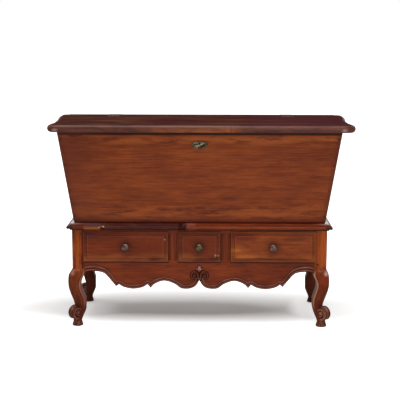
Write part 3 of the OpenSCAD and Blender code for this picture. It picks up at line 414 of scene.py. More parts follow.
# %% Stains
MM = 0.001
SHIFT = 15.8          # the drawing's middle lies this far behind the frame's origin, in mm


def stained(colour, *stains):
    """Lays stains over a colour: each is a mask, a strength and a tone as on a screen."""
    for mask, strength, *shade in stains:
        colour = (mask * strength).mix(colour, tone(*shade))
    return colour


def spot(place, x, z, wide, high):
    """A soft patch with a ragged edge, seen from the front."""
    ragged = place.streaky(X, 0.3, 34, 3, 0.6)
    size = place.shifted((-x, 0, -z)).scaled((1 / wide, 0, 1 / high)).length()
    return (size + (ragged - 0.5) * 1.6).rise(1.1, 0.35)


def spots_on(place, table):
    """Stains from a table of places, sizes, strengths and tones."""
    return [(spot(place, *where), strength, *shade) for *where, strength, shade in table]


def scrubbed(place, along, inside, colour, roughness, coat):
    """Bare, scrubbed wood where a mask is 1, and the waxed wood elsewhere."""
    fibre = place.streaky(along, 0.04, 120, 3, 0.6)
    bare = fibre.mix(BARE[0], BARE[2])
    return inside.mix(colour, bare), roughness + inside * 0.3, (1 - inside) * coat


print("stains ready, the drawing's middle is", SHIFT, "mm behind the origin")

# %% Wear and painted light of the trough and the lid
FOOT_Z = 0.515                               # the trough's foot, in metres
SIDE_LEAN, END_LEAN = 46 / 448, 69 / 448     # how far its boards lean out with height
SIDE_AT, END_AT, BOARD_END = 0.245, 0.610, 0.589
# The third tone is a painted reflection of the backdrop, laid on the tops of the mouldings.
DARK_FLAME, GLOW, BACKDROP_REFLECTION = (74, 24, 17), (156, 78, 34), (196, 158, 150)


def trough_wear_and_rim_shadow(out_y, out_x, seed, spots=()):
    """Wear of a trough board: outside by its height, with a painted shadow under the lid at the
    rim, inside scrubbed by the baker.
    """
    along = X if out_y else Y

    def wear_and_painted_light(place, colour, roughness, coat):
        x, y, z = place.parts()
        up = z - FOOT_Z
        from_end = abs(x) - up * END_LEAN
        if out_y:
            deep = y * out_y - up * SIDE_LEAN - (SIDE_AT + out_y * SHIFT * MM)
            inside = deep.rise(-0.010, -0.013) * from_end.rise(BOARD_END + 0.0005,
                                                               BOARD_END - 0.0005)
        else:
            inside = (x * out_x - up * END_LEAN - END_AT).rise(-0.010, -0.013)
        gleam = place.streaky(along, 0.2, 22, 3, 0.6).rise(0.4, 0.62)
        short = flecks(place, along, seed + 5, 80, 0.52, 0.6)
        colour = stained(
            colour,
            (flecks(place, along, seed) * (z.near(0.568, 0.06) + 0.08), 0.8, 66, 24, 18),
            (short * z.near(0.575, 0.055), 0.6, 78, 26, 18),
            (1 - z.rise(0.524, 0.560), 0.65, 90, 31, 20),
            ((z.near(0.566, 0.045) * 0.5 + z.near(0.925, 0.035) * 0.75) * gleam, 1, 166, 86, 36),
            # a painted shadow of the lid's overhang, near black along the rim
            (z.rise(0.946, 0.951), 0.95, 30, 7, 5))
        if out_y:
            colour = stained(colour, (from_end.rise(0.575, 0.612), 0.5, 58, 24, 18),
                             *spots_on(place, spots))
        if out_y < 0:
            colour = stained(
                colour, ((x * -1).rise(0.40, 0.60), 0.4, 92, 40, 28),
                (flecks(place, X, seed + 3, 40) * z.rise(0.90, 0.92), 0.7, 74, 26, 18))
        return scrubbed(place, along, inside, colour, roughness, coat)
    return wear_and_painted_light


def lid_wear_and_highlights(place, colour, roughness, coat):
    """Dark top with olive bands and a painted purple sheen toward the right, a nose rubbed to
    orange where people lean, and painted highlights on the nose's upper edge and corners.
    """
    x, y, z = place.parts()
    on_top, below = z.rise(0.9960, 0.9992), 1 - z.rise(0.962, 0.966)
    on_nose, lower = 1 - on_top, 1 - z.rise(0.984, 0.990)
    middle = x.near(-0.02, 0.32).rise(0.0, 0.6) * on_nose
    bands = place.streaky(X, 0.22, 17, 3, 0.6)
    patch = place.streaky(X, 0.3, 26, 3, 0.6).rise(0.38, 0.6)
    colour = stained(
        colour,
        (on_top * bands.rise(0.5, 0.66), 0.5, 84, 54, 34),
        (on_top * bands.rise(0.52, 0.34), 0.5, 52, 22, 26),
        # painted purple sheen on the right part of the top
        (on_top * x.rise(0.0, 0.45), 0.5, 66, 30, 38),
        (on_top * x.rise(-0.05, 0.05) * y.near(-0.292, 0.012), 0.6, 60, 48, 30),
        (middle * lower * (patch * 0.6 + 0.4), 1, 152, 82, 44),
        # rubbed pale on the upper nose, and a painted highlight
        (middle * (1 - lower), 0.5, 126, 82, 66),
        (on_nose * (1 - middle) * patch, 0.5, 112, 56, 46),
        # painted highlights at the two front corners of the nose
        (abs(x).near(0.682, 0.02) * z.near(0.976, 0.01), 0.7, 206, 160, 150),
        (x.near(0.149, 0.0022) * on_nose * y.rise(-0.25, -0.30), 1, 38, 14, 14))
    colour, roughness, coat = scrubbed(place, X, below, colour, roughness, coat)
    return colour, roughness, on_nose * coat


print("trough boards lean out", round(END_LEAN, 3), "and", round(SIDE_LEAN, 3), "with height")

# %% Wear and painted light of drawers, posts and rails
FACE_Y = 0.2392       # the drawers close at this distance in front of the origin
DRAWERS = {"left": (-359.0, 402.0), "centre": (0.0, 194.0), "right": (359.0, 402.0)}


def drawer_wear_and_glints(middle, seed, spots):
    """Stains and painted glints, darker round the knob, gold along the foot, and a bare back."""
    def wear_and_painted_light(place, colour, roughness, coat):
        _, y, z = place.parts()
        from_knob = place.shifted((-middle, 0.26, -0.4)).scaled((1, 0.2, 1)).length()
        gold = place.scaled((0.25, 1, 1)).shifted((seed, 0, 0)).noise(16, 3, 0.6)
        colour = stained(
            colour, *spots_on(place, spots), (from_knob.rise(0.055, 0.018), 0.5, 62, 26, 16),
            ((1 - z.rise(0.335, 0.385)) * gold.rise(0.42, 0.62), 0.6, 158, 86, 38))
        inner = (y + (FACE_Y - 0.004)).rise(0.0, 0.002)
        return scrubbed(place, X, inner, colour, roughness, coat)
    return wear_and_painted_light


def post_wear_and_highlights(seed):
    """A front post is darker at its foot and dirty round its pegs, with painted highlights on the
    knee, its shoulder and the scroll's top, and painted light on the right knee.
    """
    def wear_and_painted_light(place, colour, roughness, coat):
        x, _, z = place.parts()
        right, left = x.rise(-0.1, 0.1), x.rise(0.1, -0.1)
        low, square, off_middle = 1 - z.rise(0.26, 0.29), z.rise(0.285, 0.295), abs(x)
        blotch, dust = place.noise(60), place.noise(70).rise(0.4, 0.6)
        dull = flecks(place, Z, seed + 3, 26, 0.46, 0.60) * left
        knee_highlight = z.near(0.270, 0.017) * off_middle.near(0.618, 0.016)
        scroll_top_highlight = off_middle.rise(0.605, 0.625) * z.near(0.092, 0.022)
        return stained(
            colour,
            (flecks(place, Z, seed, 40) * (left * 0.25 + 0.55), 1, 76, 28, 14),
            (dull * z.rise(0.33, 0.36), 0.5, 84, 34, 18),
            (flecks(place, Z, seed + 7, 110, 0.5, 0.6) * low, 0.55, 72, 26, 16),
            (flecks(place, Z, seed + 9, 70, 0.52, 0.66) * low, 0.4, 166, 84, 36),
            (1 - z.rise(0.27, 0.29), 0.6, 92, 40, 22),
            # painted highlight on the knee's shoulder
            (z.near(0.283, 0.008) * blotch.rise(0.42, 0.6), 0.5, 156, 108, 92),
            # painted light on the right knee
            (spot(place, 0.612, 0.235, 0.034, 0.045), 0.5, 156, 54, 26),
            (spot(place, 0.577, 0.312, 0.012, 0.012), 0.8, 64, 20, 12),
            # painted highlight on the knee, brighter on the right
            (knee_highlight * (right * 0.5 + 0.4), 1, 222, 172, 156),
            ((1 - z.rise(0.09, 0.14)) * (0.65 - right * 0.25), 1, 74, 24, 18),
            # painted highlight on the top of the scroll
            (scroll_top_highlight * blotch.rise(0.35, 0.6), 0.6, 176, 108, 88),
            ((1 - z.rise(0.026, 0.036)) * dust, 0.5, 128, 98, 80),
            (off_middle.rise(0.580, 0.570) * square, 0.7, 74, 28, 18),
            (off_middle.near(0.596, 0.012) * square, 0.4, 166, 84, 34),
            (right * z.rise(0.29, 0.31), 0.3, 180, 88, 38)), roughness, coat
    return wear_and_painted_light


def apron_flecks_and_lip_shadow(place, colour, roughness, coat):
    """Flecks, and a painted shadow under each drawer's lip."""
    x, _, z = place.parts()
    # painted shadow that each drawer's lip casts on the apron
    lip_shadow = 0
    for middle, wide in DRAWERS.values():
        half = (wide / 2 + 6) * MM
        lip_shadow = abs(x - middle * MM).rise(half + 0.006, half) + lip_shadow
    return stained(colour, (flecks(place, X, 15), 0.45, 66, 26, 18),
                   (lip_shadow * z.near(0.3235, 0.006), 0.9, 26, 8, 6)), roughness, coat


def waist_wear_shade_and_reflection(place, colour, roughness, coat):
    """The front moulding: orange at its left end, then dull crimson up to the fallen knot, with
    painted shade under its nose and at its tips, and a painted reflection on the ledge at its
    ends.
    """
    x, _, z = place.parts()
    torn = place.streaky(X, 0.25, 60, 3, 0.6)
    left = (x + (torn - 0.5) * 0.03).near(-0.520, 0.050).rise(0.0, 0.35)
    dull = (x + (torn - 0.5) * 0.05).rise(-0.465, -0.45) * (1 - x.rise(-0.07, -0.055))
    nail = place.shifted((-0.511, 0, -0.493)).scaled((1, 0, 1)).length().rise(0.007, 0.004)
    # painted shade on the lower part of both tips
    tip_shade = abs(x).rise(0.606, 0.616) * z.rise(0.5075, 0.5035)
    seam = x.rise(-0.04, 0.0) * z.near(0.5085, 0.003) + x.rise(0.25, 0.45) * z.near(0.487, 0.004)
    lines = place.streaky(X, 0.08, 190).rise(0.6, 0.75)
    raw = x.near(-0.474, 0.018).rise(0.0, 0.3) * z.near(0.5015, 0.0055).rise(0.0, 0.4)
    ends = abs(x).rise(0.55, 0.62) * z.rise(0.510, 0.514)
    colour = stained(
        colour,
        # painted shade on the lower half, under the nose
        (z.rise(0.497, 0.488), 0.45, 48, 18, 12),
        ((1 - left) * (1 - x.rise(-0.47, -0.46)), 0.5, 70, 30, 22),
        (left * (1 - z.rise(0.497, 0.502)), 0.85, 160, 86, 34),
        (left * z.rise(0.498, 0.503), 0.6, 70, 58, 62),
        (dull, 0.9, 66, 25, 18),
        (nail.larger(tip_shade), 0.85, 42, 29, 21),
        (seam, 0.6, 62, 24, 22),
        (dull * lines, 0.6, 128, 80, 74),
        (x.near(-0.042, 0.036).rise(0.0, 0.4) * torn.rise(0.42, 0.55), 0.7, 146, 84, 74),
        (raw, 0.9, 196, 168, 130),
        # painted reflection of the backdrop on the ledge at both ends
        (ends, 0.4, *BACKDROP_REFLECTION))
    return colour, roughness - ends * 0.25, ends * 0.6 + coat


def ledge_polish_and_reflection(place, colour, roughness, coat):
    """The top of a side moulding is polished by sleeves, so it mirrors the backdrop, and a pale
    painted reflection of it lies there as well.
    """
    ledge = place.parts()[2].rise(0.511, 0.514)
    return stained(colour, (ledge, 0.4, *BACKDROP_REFLECTION)), roughness - ledge * 0.25, ledge * 0.7 + coat


def muntin_wear(place, colour, roughness, coat):
    """A few dark lines down each muntin."""
    lines = place.streaky(Z, 0.02, 120, 2, 0.6).rise(0.5, 0.6)
    return stained(colour, (lines, 0.6, 60, 22, 15)), roughness, coat


print("wear for", len(DRAWERS), "drawers, the posts and the rails")

# %% [markdown]
# ## A wood for every board
# Every board of the CAD model gets its own wood, sawn along x for rails and long
# boards, along y for the ends and along z for posts. Pieces that we model again
# below take over the wood of the node that they stand for, so nothing is left bare.

# %% Boards
BODY = {n: made["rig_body"] for n, made in frame["nodes"].items()}
LOOK = {}
TROUGH_SPOTS = [(-0.173, 0.585, 0.045, 0.008, 0.65, DARK_FLAME),
                (-0.005, 0.593, 0.030, 0.009, 0.65, DARK_FLAME),
                (0.146, 0.636, 0.045, 0.012, 0.45, DARK_FLAME),
                (0.305, 0.597, 0.030, 0.007, 0.5, DARK_FLAME),
                (0.050, 0.577, 0.040, 0.007, 0.5, DARK_FLAME),
                (-0.252, 0.527, 0.050, 0.007, 0.6, DARK_FLAME),
                (-0.316, 0.560, 0.060, 0.012, 0.4, GLOW),
                (-0.173, 0.556, 0.050, 0.010, 0.4, GLOW),
                (0.075, 0.556, 0.060, 0.010, 0.4, GLOW),
                (0.350, 0.560, 0.070, 0.012, 0.4, GLOW)]
# The pale pink spots in the left and centre tables are painted glints on the lips.
LEFT_SPOTS = [(-0.535, 0.458, 0.06, 0.022, 0.6, (72, 32, 32)),
              (-0.20, 0.345, 0.05, 0.014, 0.5, (60, 24, 16)),
              (-0.168, 0.437, 0.006, 0.006, 0.7, (204, 156, 146))]
CENTRE_SPOTS = [(0.07, 0.345, 0.04, 0.018, 0.6, (64, 26, 20)),
                (-0.08, 0.450, 0.04, 0.02, 0.4, (84, 46, 26)),
                (0.078, 0.360, 0.006, 0.006, 0.7, (196, 136, 112)),
                (0.091, 0.359, 0.005, 0.006, 0.5, (196, 136, 112))]
RIGHT_SPOTS = [(0.21, 0.455, 0.10, 0.030, 0.75, (92, 28, 20)),
               (0.18, 0.375, 0.06, 0.036, 0.3, (178, 96, 36)),
               (0.22, 0.352, 0.06, 0.012, 0.5, (182, 104, 44)),
               (0.17, 0.385, 0.04, 0.010, 0.5, (186, 104, 40)),
               (0.47, 0.440, 0.09, 0.012, 0.6, (84, 34, 16)),
               (0.44, 0.415, 0.08, 0.007, 0.5, (90, 38, 18)),
               (0.36, 0.345, 0.10, 0.010, 0.6, (72, 32, 16))]
BOARDS = [
    ("trough_front", X, WALNUT, 11, trough_wear_and_rim_shadow(-1, 0, 11, TROUGH_SPOTS)),
    ("trough_back", X, WALNUT_DARK, 12, trough_wear_and_rim_shadow(1, 0, 12)),
    ("trough_end_left", Y, WALNUT, 13, trough_wear_and_rim_shadow(0, -1, 13)),
    ("trough_end_right", Y, WALNUT, 14, trough_wear_and_rim_shadow(0, 1, 14)),
    ("apron_front", X, WALNUT_RED, 15, apron_flecks_and_lip_shadow),
    ("top_rail", X, WALNUT_RED, 16, None),
    ("side_board_left", Y, WALNUT_RED, 17, None), ("side_board_right", Y, WALNUT_RED, 18, None),
    ("muntin_left", Z, WALNUT_RED, 19, muntin_wear),
    ("muntin_right", Z, WALNUT_RED, 20, muntin_wear),
    ("waist_front", X, WALNUT_RED, 21, waist_wear_shade_and_reflection), ("waist_back", X, WALNUT_DARK, 22, None),
    ("waist_left", Y, WALNUT_RED, 23, ledge_polish_and_reflection), ("waist_right", Y, WALNUT_RED, 24, ledge_polish_and_reflection),
    ("drawer_left_front", X, WALNUT_RED, 25, drawer_wear_and_glints(-0.359, 2.0, LEFT_SPOTS)),
    ("drawer_centre_front", X, WALNUT_RED, 26, drawer_wear_and_glints(0.0, 7.0, CENTRE_SPOTS)),
    ("drawer_right_front", X, WALNUT, 27, drawer_wear_and_glints(0.359, 11.0, RIGHT_SPOTS)),
    ("lid_board_front", X, LID, 28, lid_wear_and_highlights), ("lid_board_rear", X, LID, 29, lid_wear_and_highlights),
    ("leg_front_left", Z, ORANGE, 30, post_wear_and_highlights(30)),
    ("leg_front_right", Z, ORANGE, 31, post_wear_and_highlights(31)),
    ("leg_back_left", Z, WALNUT_DARK, 32, None), ("leg_back_right", Z, WALNUT_DARK, 33, None),
]
# How a finish departs from plain wax, for the nodes whose names begin so. The rub
# tone is that of the edges that hands have worn, and of the painted highlights on them.
FINISH = {"lid_board": {"coat": 0.35, "specular": 0.0},
          "leg": {"coat": 0.05, "specular": 0.05, "rub_and_highlight": tone(150, 100, 84)},
          "leg_front_right": {"rub_and_highlight": tone(188, 138, 112)},
          "waist_left": {"specular": 0.3}, "waist_right": {"specular": 0.3},
          "apron_front": {"rub_and_highlight": tone(156, 108, 98)},
          "drawer_left_front": {"rub_and_highlight": tone(124, 78, 64)},
          "drawer_centre_front": {"rub_and_highlight": tone(120, 76, 58)}}


def give(node, material):
    LOOK[node] = material
    slots = frame["nodes"][node].data.materials
    slots.clear()
    slots.append(material)


for node, along, tones, seed, wear_and_painted_light in BOARDS:
    finish = {}
    for begins, departs in FINISH.items():
        if node.startswith(begins):
            finish.update(departs)
    give(node, wood(node, along, tones, seed, wear_and_painted_light=wear_and_painted_light, **finish))
BARE_BOARDS = [
    ("back_board", X), ("runner_left", Y), ("runner_mid_left", Y), ("runner_mid_right", Y),
    ("runner_right", Y), ("drawer_guides", Y), ("kickers", Y), ("trough_bottom_front", X),
    ("trough_bottom_rear", X), ("lid_battens", Y)]
for side in DRAWERS:
    BARE_BOARDS += [("drawer_%s_sides" % side, Y), ("drawer_%s_back" % side, X),
                    ("drawer_%s_bottom" % side, Y)]
for seed, (node, along) in enumerate(BARE_BOARDS, 50):
    give(node, wood(node, along, AGED if node == "back_board" else BARE, seed, rough=0.7,
                    coat=0.0, specular=0.2))
peg_wood = wood("peg end grain", Z, PEG_END, 90, rub_and_highlight=tone(140, 64, 26))
for node in ("pegs_front", "pegs_sides", "pegs_back", "trough_pegs"):
    give(node, peg_wood)
print("woods for", len(LOOK), "nodes")

# %% [markdown]
# ## Metals
# The escutcheon and one knob are brass, dark in the hollows and bright where keys and
# fingers touch them, with painted shade and painted highlights laid on the same marks.
# The other knobs are brown iron, and the hinges have rusted dull.
# One material with two tones does for all of them. Only its numbers differ.

# %% Metals
def metal(name, base, worn, rough=0.42, metallic=0.9, specular=0.5):
    """Old metal: dull in its hollows and where shade is painted, bright where it is touched and
    where highlights are painted.
    """
    material, shader, place = new_material(name)
    blotch = place.noise(90, 4, 0.6)
    pits = place.noise(600, 3, 0.6)
    hollow, polished_and_highlit = marks_on(place)
    colour = (blotch.rise(0.35, 0.7) * 0.5 + polished_and_highlit * blotch * 0.9).mix(base, worn)
    plug(shader, Base_Color=(hollow * 0.8).mix(colour, [c * 0.12 for c in base]),
         Metallic=metallic, Specular_IOR_Level=specular,
         Roughness=(pits - 0.5) * 0.3 + (polished_and_highlit * -0.12 + hollow * 0.3) + rough,
         Normal=pits.node("Bump", None, {"Strength": 0.3, "Distance": 0.0004,
                                         "Height": pits + blotch * 2}))
    return material


plate_brass = metal("cast plate brass", tone(66, 52, 36), tone(206, 190, 150))
brass = metal("old brass", tone(74, 60, 40), tone(136, 120, 86), rough=0.5)
knob_iron = metal("knob iron", tone(96, 74, 68), tone(136, 108, 100), rough=0.46)
iron = metal("forged iron", tone(52, 46, 42), tone(84, 76, 70), rough=0.5)
rusted = metal("rusted iron", tone(52, 34, 30), tone(104, 84, 76), 0.8, 0.0, 0.02)
for node, material in {
        "escutcheon": plate_brass, "drawer_centre_knob": brass,
        "drawer_left_knob": knob_iron, "drawer_right_knob": knob_iron,
        "lock_case": iron, "lock_bolt": iron, "lid_staple": iron,
        "hinge_leaves_lid": rusted, "hinge_leaves_trough": rusted,
        "hinge_pins": rusted}.items():
    give(node, material)
print("materials for", len(LOOK), "of", len(frame["nodes"]), "CAD nodes")

# %% [markdown]
# ## From points to pieces
# All shapes below are drawn in millimetres, centred on the stand, as on a maker's
# drawing. One function turns such points into a mesh in the shared frame, hides the
# CAD node that it stands for, and lets it ride on the same body, so that lid and
# drawers still move. Edges sharper than about 35 degrees stay crisp, the rest shade
# smoothly. A shape is a list of points and a list of faces. A point may carry two
# more numbers after its place: how much dirt and painted shade lies there, and how
# much it is rubbed and carries a painted highlight.

# %% Piece builder
def stand_in(name, mesh, nodes, material=None, body=None, crisp=35):
    """Turns a mesh into a piece that replaces CAD nodes, or only rides on a body."""
    shaped = bmesh.new()
    shaped.from_mesh(mesh)
    bmesh.ops.remove_doubles(shaped, verts=shaped.verts, dist=1e-6)
    bmesh.ops.recalc_face_normals(shaped, faces=shaped.faces)
    shaped.to_mesh(mesh)
    shaped.free()
    mesh.shade_smooth()
    mesh.set_sharp_from_angle(angle=math.radians(crisp))
    made = bpy.data.objects.new(name, mesh)
    bpy.context.scene.collection.objects.link(made)
    like = nodes[0] if nodes else None
    mesh.materials.append(material or LOOK[like])
    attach(made, body or BODY[like])
    if nodes:
        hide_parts(*nodes)


def drawn(name, shape, *nodes, **options):
    """A piece from a shape in the drawing's millimetres, with its marks."""
    points, faces = shape
    mesh = bpy.data.meshes.new(name)
    mesh.from_pydata([(p[0] * MM, (p[1] + SHIFT) * MM, p[2] * MM) for p in points], [], faces)
    for place, mark in enumerate(MARKS, 3):
        painted = mesh.attributes.new(mark, "FLOAT", "POINT")
        painted.data.foreach_set("value", [p[place] if len(p) > place else 0.0 for p in points])
    stand_in(name, mesh, nodes, **options)


print("pieces ride on their node's body and take its slot")

# %% Shape helpers
def skin(rings):
    """A closed skin over rings of points, each with the same count."""
    count, last = len(rings[0]), len(rings) - 1
    faces = []
    for i in range(last):
        for j in range(count):
            k = (j + 1) % count
            faces.append((i * count + j, i * count + k, (i + 1) * count + k, (i + 1) * count + j))
    faces += [tuple(range(count))[::-1], tuple(last * count + j for j in range(count))]
    return [p for ring in rings for p in ring], faces


def joined(*shapes):
    points, faces = [], []
    for more_points, more_faces in shapes:
        faces += [tuple(i + len(points) for i in face) for face in more_faces]
        points += list(more_points)
    return points, faces


def mirrored_shape(shape, x=1, y=1):
    points, faces = shape
    return [(p[0] * x, p[1] * y, *p[2:]) for p in points], faces


def lerp(a, b, t):
    return a + (b - a) * t


def ease(low, high, x):
    t = min(max((x - low) / (high - low), 0.0), 1.0)
    return t * t * (3 - 2 * t)


def smooth_line(keys, steps):
    """A smooth line through every key, with some steps between two keys."""
    line = []
    for i in range(len(keys) - 1):
        p0, p1, p2 = keys[max(i - 1, 0)], keys[i], keys[i + 1]
        p3 = keys[min(i + 2, len(keys) - 1)]
        for t in (s / steps for s in range(steps)):
            line.append([0.5 * (2 * b + (c - a) * t + (2 * a - 5 * b + 4 * c - d) * t * t
                                + (3 * b - a - 3 * c + d) * t ** 3)
                         for a, b, c, d in zip(p0, p1, p2, p3)])
    return line + [list(keys[-1])]


def arc(centre, radius, start, end, steps):
    turns = [math.radians(lerp(start, end, i / steps)) for i in range(steps + 1)]
    return [(centre[0] + radius * math.cos(a), centre[1] + radius * math.sin(a)) for a in turns]


def circle(r, turns):
    angles = [2 * math.pi * t / turns for t in range(turns)]
    return [(r * math.cos(a), r * math.sin(a)) for a in angles]


def turned(profile, turns=40, centre=(0, 0)):
    """A profile of (radius, height, dirt and painted shade, rub and painted highlight), spun
    about an upright line.
    """
    return skin([[(centre[0] + x, centre[1] + y, z, *marks) for x, y in circle(r, turns)]
                 for r, z, *marks in profile])


print("a circle of 8 starts with", circle(1.0, 8)[:2])

# %% [markdown]
# ## Four legs with snail feet
# A cabriole leg is cut from one square post with two bandsawn curves and then
# rounded by hand. So we loft it: at each height stands a rounded square, whose outer
# face moves out at the knee and in at the ankle. A thin bead runs down the inner
# arris and carries on from the apron's edge. No two legs came out alike, and each
# has its own stoutness here. The foot is a scroll. The carver rolls the end of the
# leg outward like a ribbon, so each end of the roll shows a spiral step that winds
# in to a small round eye. We draw that as a height over a disc: turning once round
# the eye moves the step inward by one band.

# %% Leg
HALF_W, HALF_D, POST = 620.0, 255.0, 60.0
STAND_H, POST_FOOT = 483.0, 287.0
# height, how far the outer faces stand out, thickness, outer and inner rounding
LEG_KEYS = [(29, 1, 42, 21, 21), (45.4, -1.95, 44.8, 20, 16.2), (67, -8.1, 48.1, 15.1, 9.7),
            (90.4, -13, 51, 12, 7), (106, -13, 52.9, 12, 5), (132.2, -7, 54, 12, 5),
            (153.9, 0, 54, 12, 5), (176.7, 7, 52.9, 12, 5), (200.6, 12.5, 52.9, 12, 5),
            (220, 14, 54, 12, 5), (239, 14, 60, 12, 5), (257.4, 12.4, 67, 12, 5),
            (272, 9.6, 69.6, 9, 4), (281.5, 5.2, 65.2, 5, 3), (286, 0.9, 60.9, 3, 2.4),
            (POST_FOOT, 0.0, 60.0, 3, 2.2)]
# how much further each leg stands out, and how much thicker it is on its inner side
STOUT = {"front_left": (6.5, 1.0), "front_right": (0.0, 8.5),
         "back_left": (4.0, 0.0), "back_right": (8.0, 0.0)}
# the bead across the arris: place, how far it stands up, dirt and painted shade in its quirk, and
# rub and painted highlight on its crest
BEAD = ((15, 0, 0, 0), (13, -0.6, 0.2, 0), (11.6, -1.5, 0.8, 0), (10.2, -0.5, 0.2, 0),
        (9, 0.7, 0, 0.5), (7.5, 1.5, 0, 1), (6, 1.6, 0, 1))


def leg_ring(key, bead, further, thicker):
    z, out, thick, outer, inner = key
    full = ease(72, 104, z) * (1 - ease(255, 284, z))
    inward = full * thicker * (0.55 + 0.45 * ease(120, 190, z))
    out += full * further
    thick = min(thick + full * further + inward, POST + out + inward)
    hx, hy = HALF_W + out, HALF_D + out
    lx, ly = hx - thick, hy - thick
    outer, inner = min(outer, thick / 2 - 0.5), min(inner, thick / 2 - 0.5)
    live = bead * ease(78, 130, z) * (1 - ease(262, 285, z))
    # painted shade on the outer rounded corner of the front legs
    outer_corner_shade = 0.3 * bead * (1 - ease(270, 286, z))
    ring = [(*p, outer_corner_shade) for p in arc((hx - outer, hy - outer), outer, 0, 90, 10)]
    ring += [(lx + max(at, inner + 0.5), hy + rise * live, dirt_and_shade * live, rub_and_highlight * live)
             for at, rise, dirt_and_shade, rub_and_highlight in BEAD]
    corner = arc((lx + inner, hy - inner), inner, 90, 180, 6)
    # the first points of the inner rounding carry a painted highlight
    ring += [(px, py + 1.2 * live * max(0, (py - hy + inner) / inner), 0, live * (i < 4))
             for i, (px, py) in enumerate(corner)]
    ring += arc((lx + inner, ly + inner), inner, 180, 270, 5)
    ring += arc((hx - inner, ly + inner), inner, 270, 360, 5)
    return [(p[0], p[1], z, *p[2:]) for p in ring]


def leg_body(bead, further, thicker):
    rings = [leg_ring(key, bead, further, thicker) for key in smooth_line(LEG_KEYS, 7)]
    top = rings[-1]
    for z, shrink in ((POST_FOOT + 6, 0), (POST_FOOT + 60, 0), (STAND_H - 2, 0),
                      (STAND_H - 0.8, 0.2), (STAND_H - 0.2, 0.8)):
        rings.append([(p[0] - math.copysign(shrink, p[0] - HALF_W + POST / 2),
                       p[1] - math.copysign(shrink, p[1] - HALF_D + POST / 2), z)
                      for p in top])
    return skin(rings)


print("leg of", len(LEG_KEYS), "sections")

# %% Scroll foot
SCROLL_R, SCROLL_HALF, SCROLL_Z = 35.0, 20.0, 67.0
SCROLL_AT = 20 - 9 / math.sqrt(2)
SCROLL_EYE, SCROLL_PITCH, SCROLL_TURNS = 8.5, 0.125, 96
SCROLL_RADII = [1, 3, 5.5, 7.5] + [SCROLL_EYE + 24.5 * i / 26 for i in range(1, 27)]
# the roll's rim: radius, place along the axis, dirt and painted shade in its grooves, and rub and
# painted highlight on its rims
SCROLL_RIM = [(34.2, -19.6, 0.1, 0.4), (35, -18, 0, 0.7), (34.6, -15.5, 0.3, 0),
              (33.2, -13, 1, 0), (33.9, -10, 0.5, 0), (34.3, 0, 0, 0.3), (33.9, 10, 0.5, 0),
              (33.2, 13, 1, 0), (34.6, 15.5, 0.3, 0), (35, 18, 0, 0.7), (34.2, 19.6, 0.1, 0.4)]


def scroll_relief(r, turn, hand):
    """How far the end of the roll lies under its rim, its dirt and painted shade in the grooves,
    and its rub and painted highlights on the crests and the eye.
    """
    if r < SCROLL_EYE:
        return -0.4 - 3.4 * (r / SCROLL_EYE) ** 2, 0.0, 1.0 - 0.6 * (r / SCROLL_EYE) ** 2
    phase = (-math.log(r / SCROLL_R) / (2 * math.pi * SCROLL_PITCH)
             - hand * turn / (2 * math.pi)) % 1.0
    crest = ease(0.0, 0.16, phase) * (1 - ease(0.55, 1.0, phase))
    return -5.2 + 4.9 * crest, (1 - crest) ** 0.7, crest ** 6 * 0.5


def scroll_end(hand):
    rings = []
    for r in SCROLL_RADII:
        rings.append([])
        for t, (x, y) in enumerate(circle(r, SCROLL_TURNS)):
            low, dirt_and_shade, rub_and_highlight = scroll_relief(r, 2 * math.pi * t / SCROLL_TURNS, hand)
            rings[-1].append((x, y, hand * (SCROLL_HALF + low), dirt_and_shade, rub_and_highlight))
    return rings


def scroll_roll():
    """The rolled end of the leg, with its axis across the corner's diagonal."""
    rim = [[(x, y, w, dirt_and_shade, rub_and_highlight) for x, y in circle(r, SCROLL_TURNS)]
           for r, w, dirt_and_shade, rub_and_highlight in SCROLL_RIM]
    points, faces = skin(scroll_end(-1) + rim + scroll_end(1)[::-1])
    h = math.sqrt(0.5)         # px points outward along the diagonal, w along the axis
    return [(HALF_W - SCROLL_AT + h * px - h * w, HALF_D - SCROLL_AT + h * px + h * w,
             SCROLL_Z + pz, *marks) for px, pz, w, *marks in points], faces


FOOT_PAD = ([(0.5, 0), (19, 0), (23.5, 0.8)] + arc((22.5, 5), 4.6, -60, 40, 5)
            + [(25.2, 11), (23.6, 16), (21.8, 21), (21, 26), (21, 33), (0.5, 33)])
foot = joined(scroll_roll(), turned(FOOT_PAD, 48, (HALF_W - 20, HALF_D - 20)))
for end, y in (("front", -1), ("back", 1)):
    for side, x in (("left", -1), ("right", 1)):
        where = end + "_" + side
        leg = joined(leg_body(float(end == "front"), *STOUT[where]), foot)
        drawn("leg_%s_carved" % where, mirrored_shape(leg, x, y), "leg_" + where)
print("four legs of", len(leg[0]), "points each")

# %% [markdown]
# ## The scalloped apron and its carved heart
# The apron hangs under the drawers. Its lower edge is sawn to lobes, arches and
# cusps, and a rounded bead follows it, with a scratched line above. We lay a fine
# net over the board and ask for each knot how far it is from the sawn edge: that
# distance alone gives the bead's height, so the bead mitres itself at every point.
# The carved motif works the same way. Each stem is a line with a width and a
# height, a knot close to a stem is lifted by a round ridge, and the ground next to
# it is sunk, as the carver's gouge leaves it. The same distances paint shade in the
# bead's quirks and on the sunk ground, and highlights on the crests.

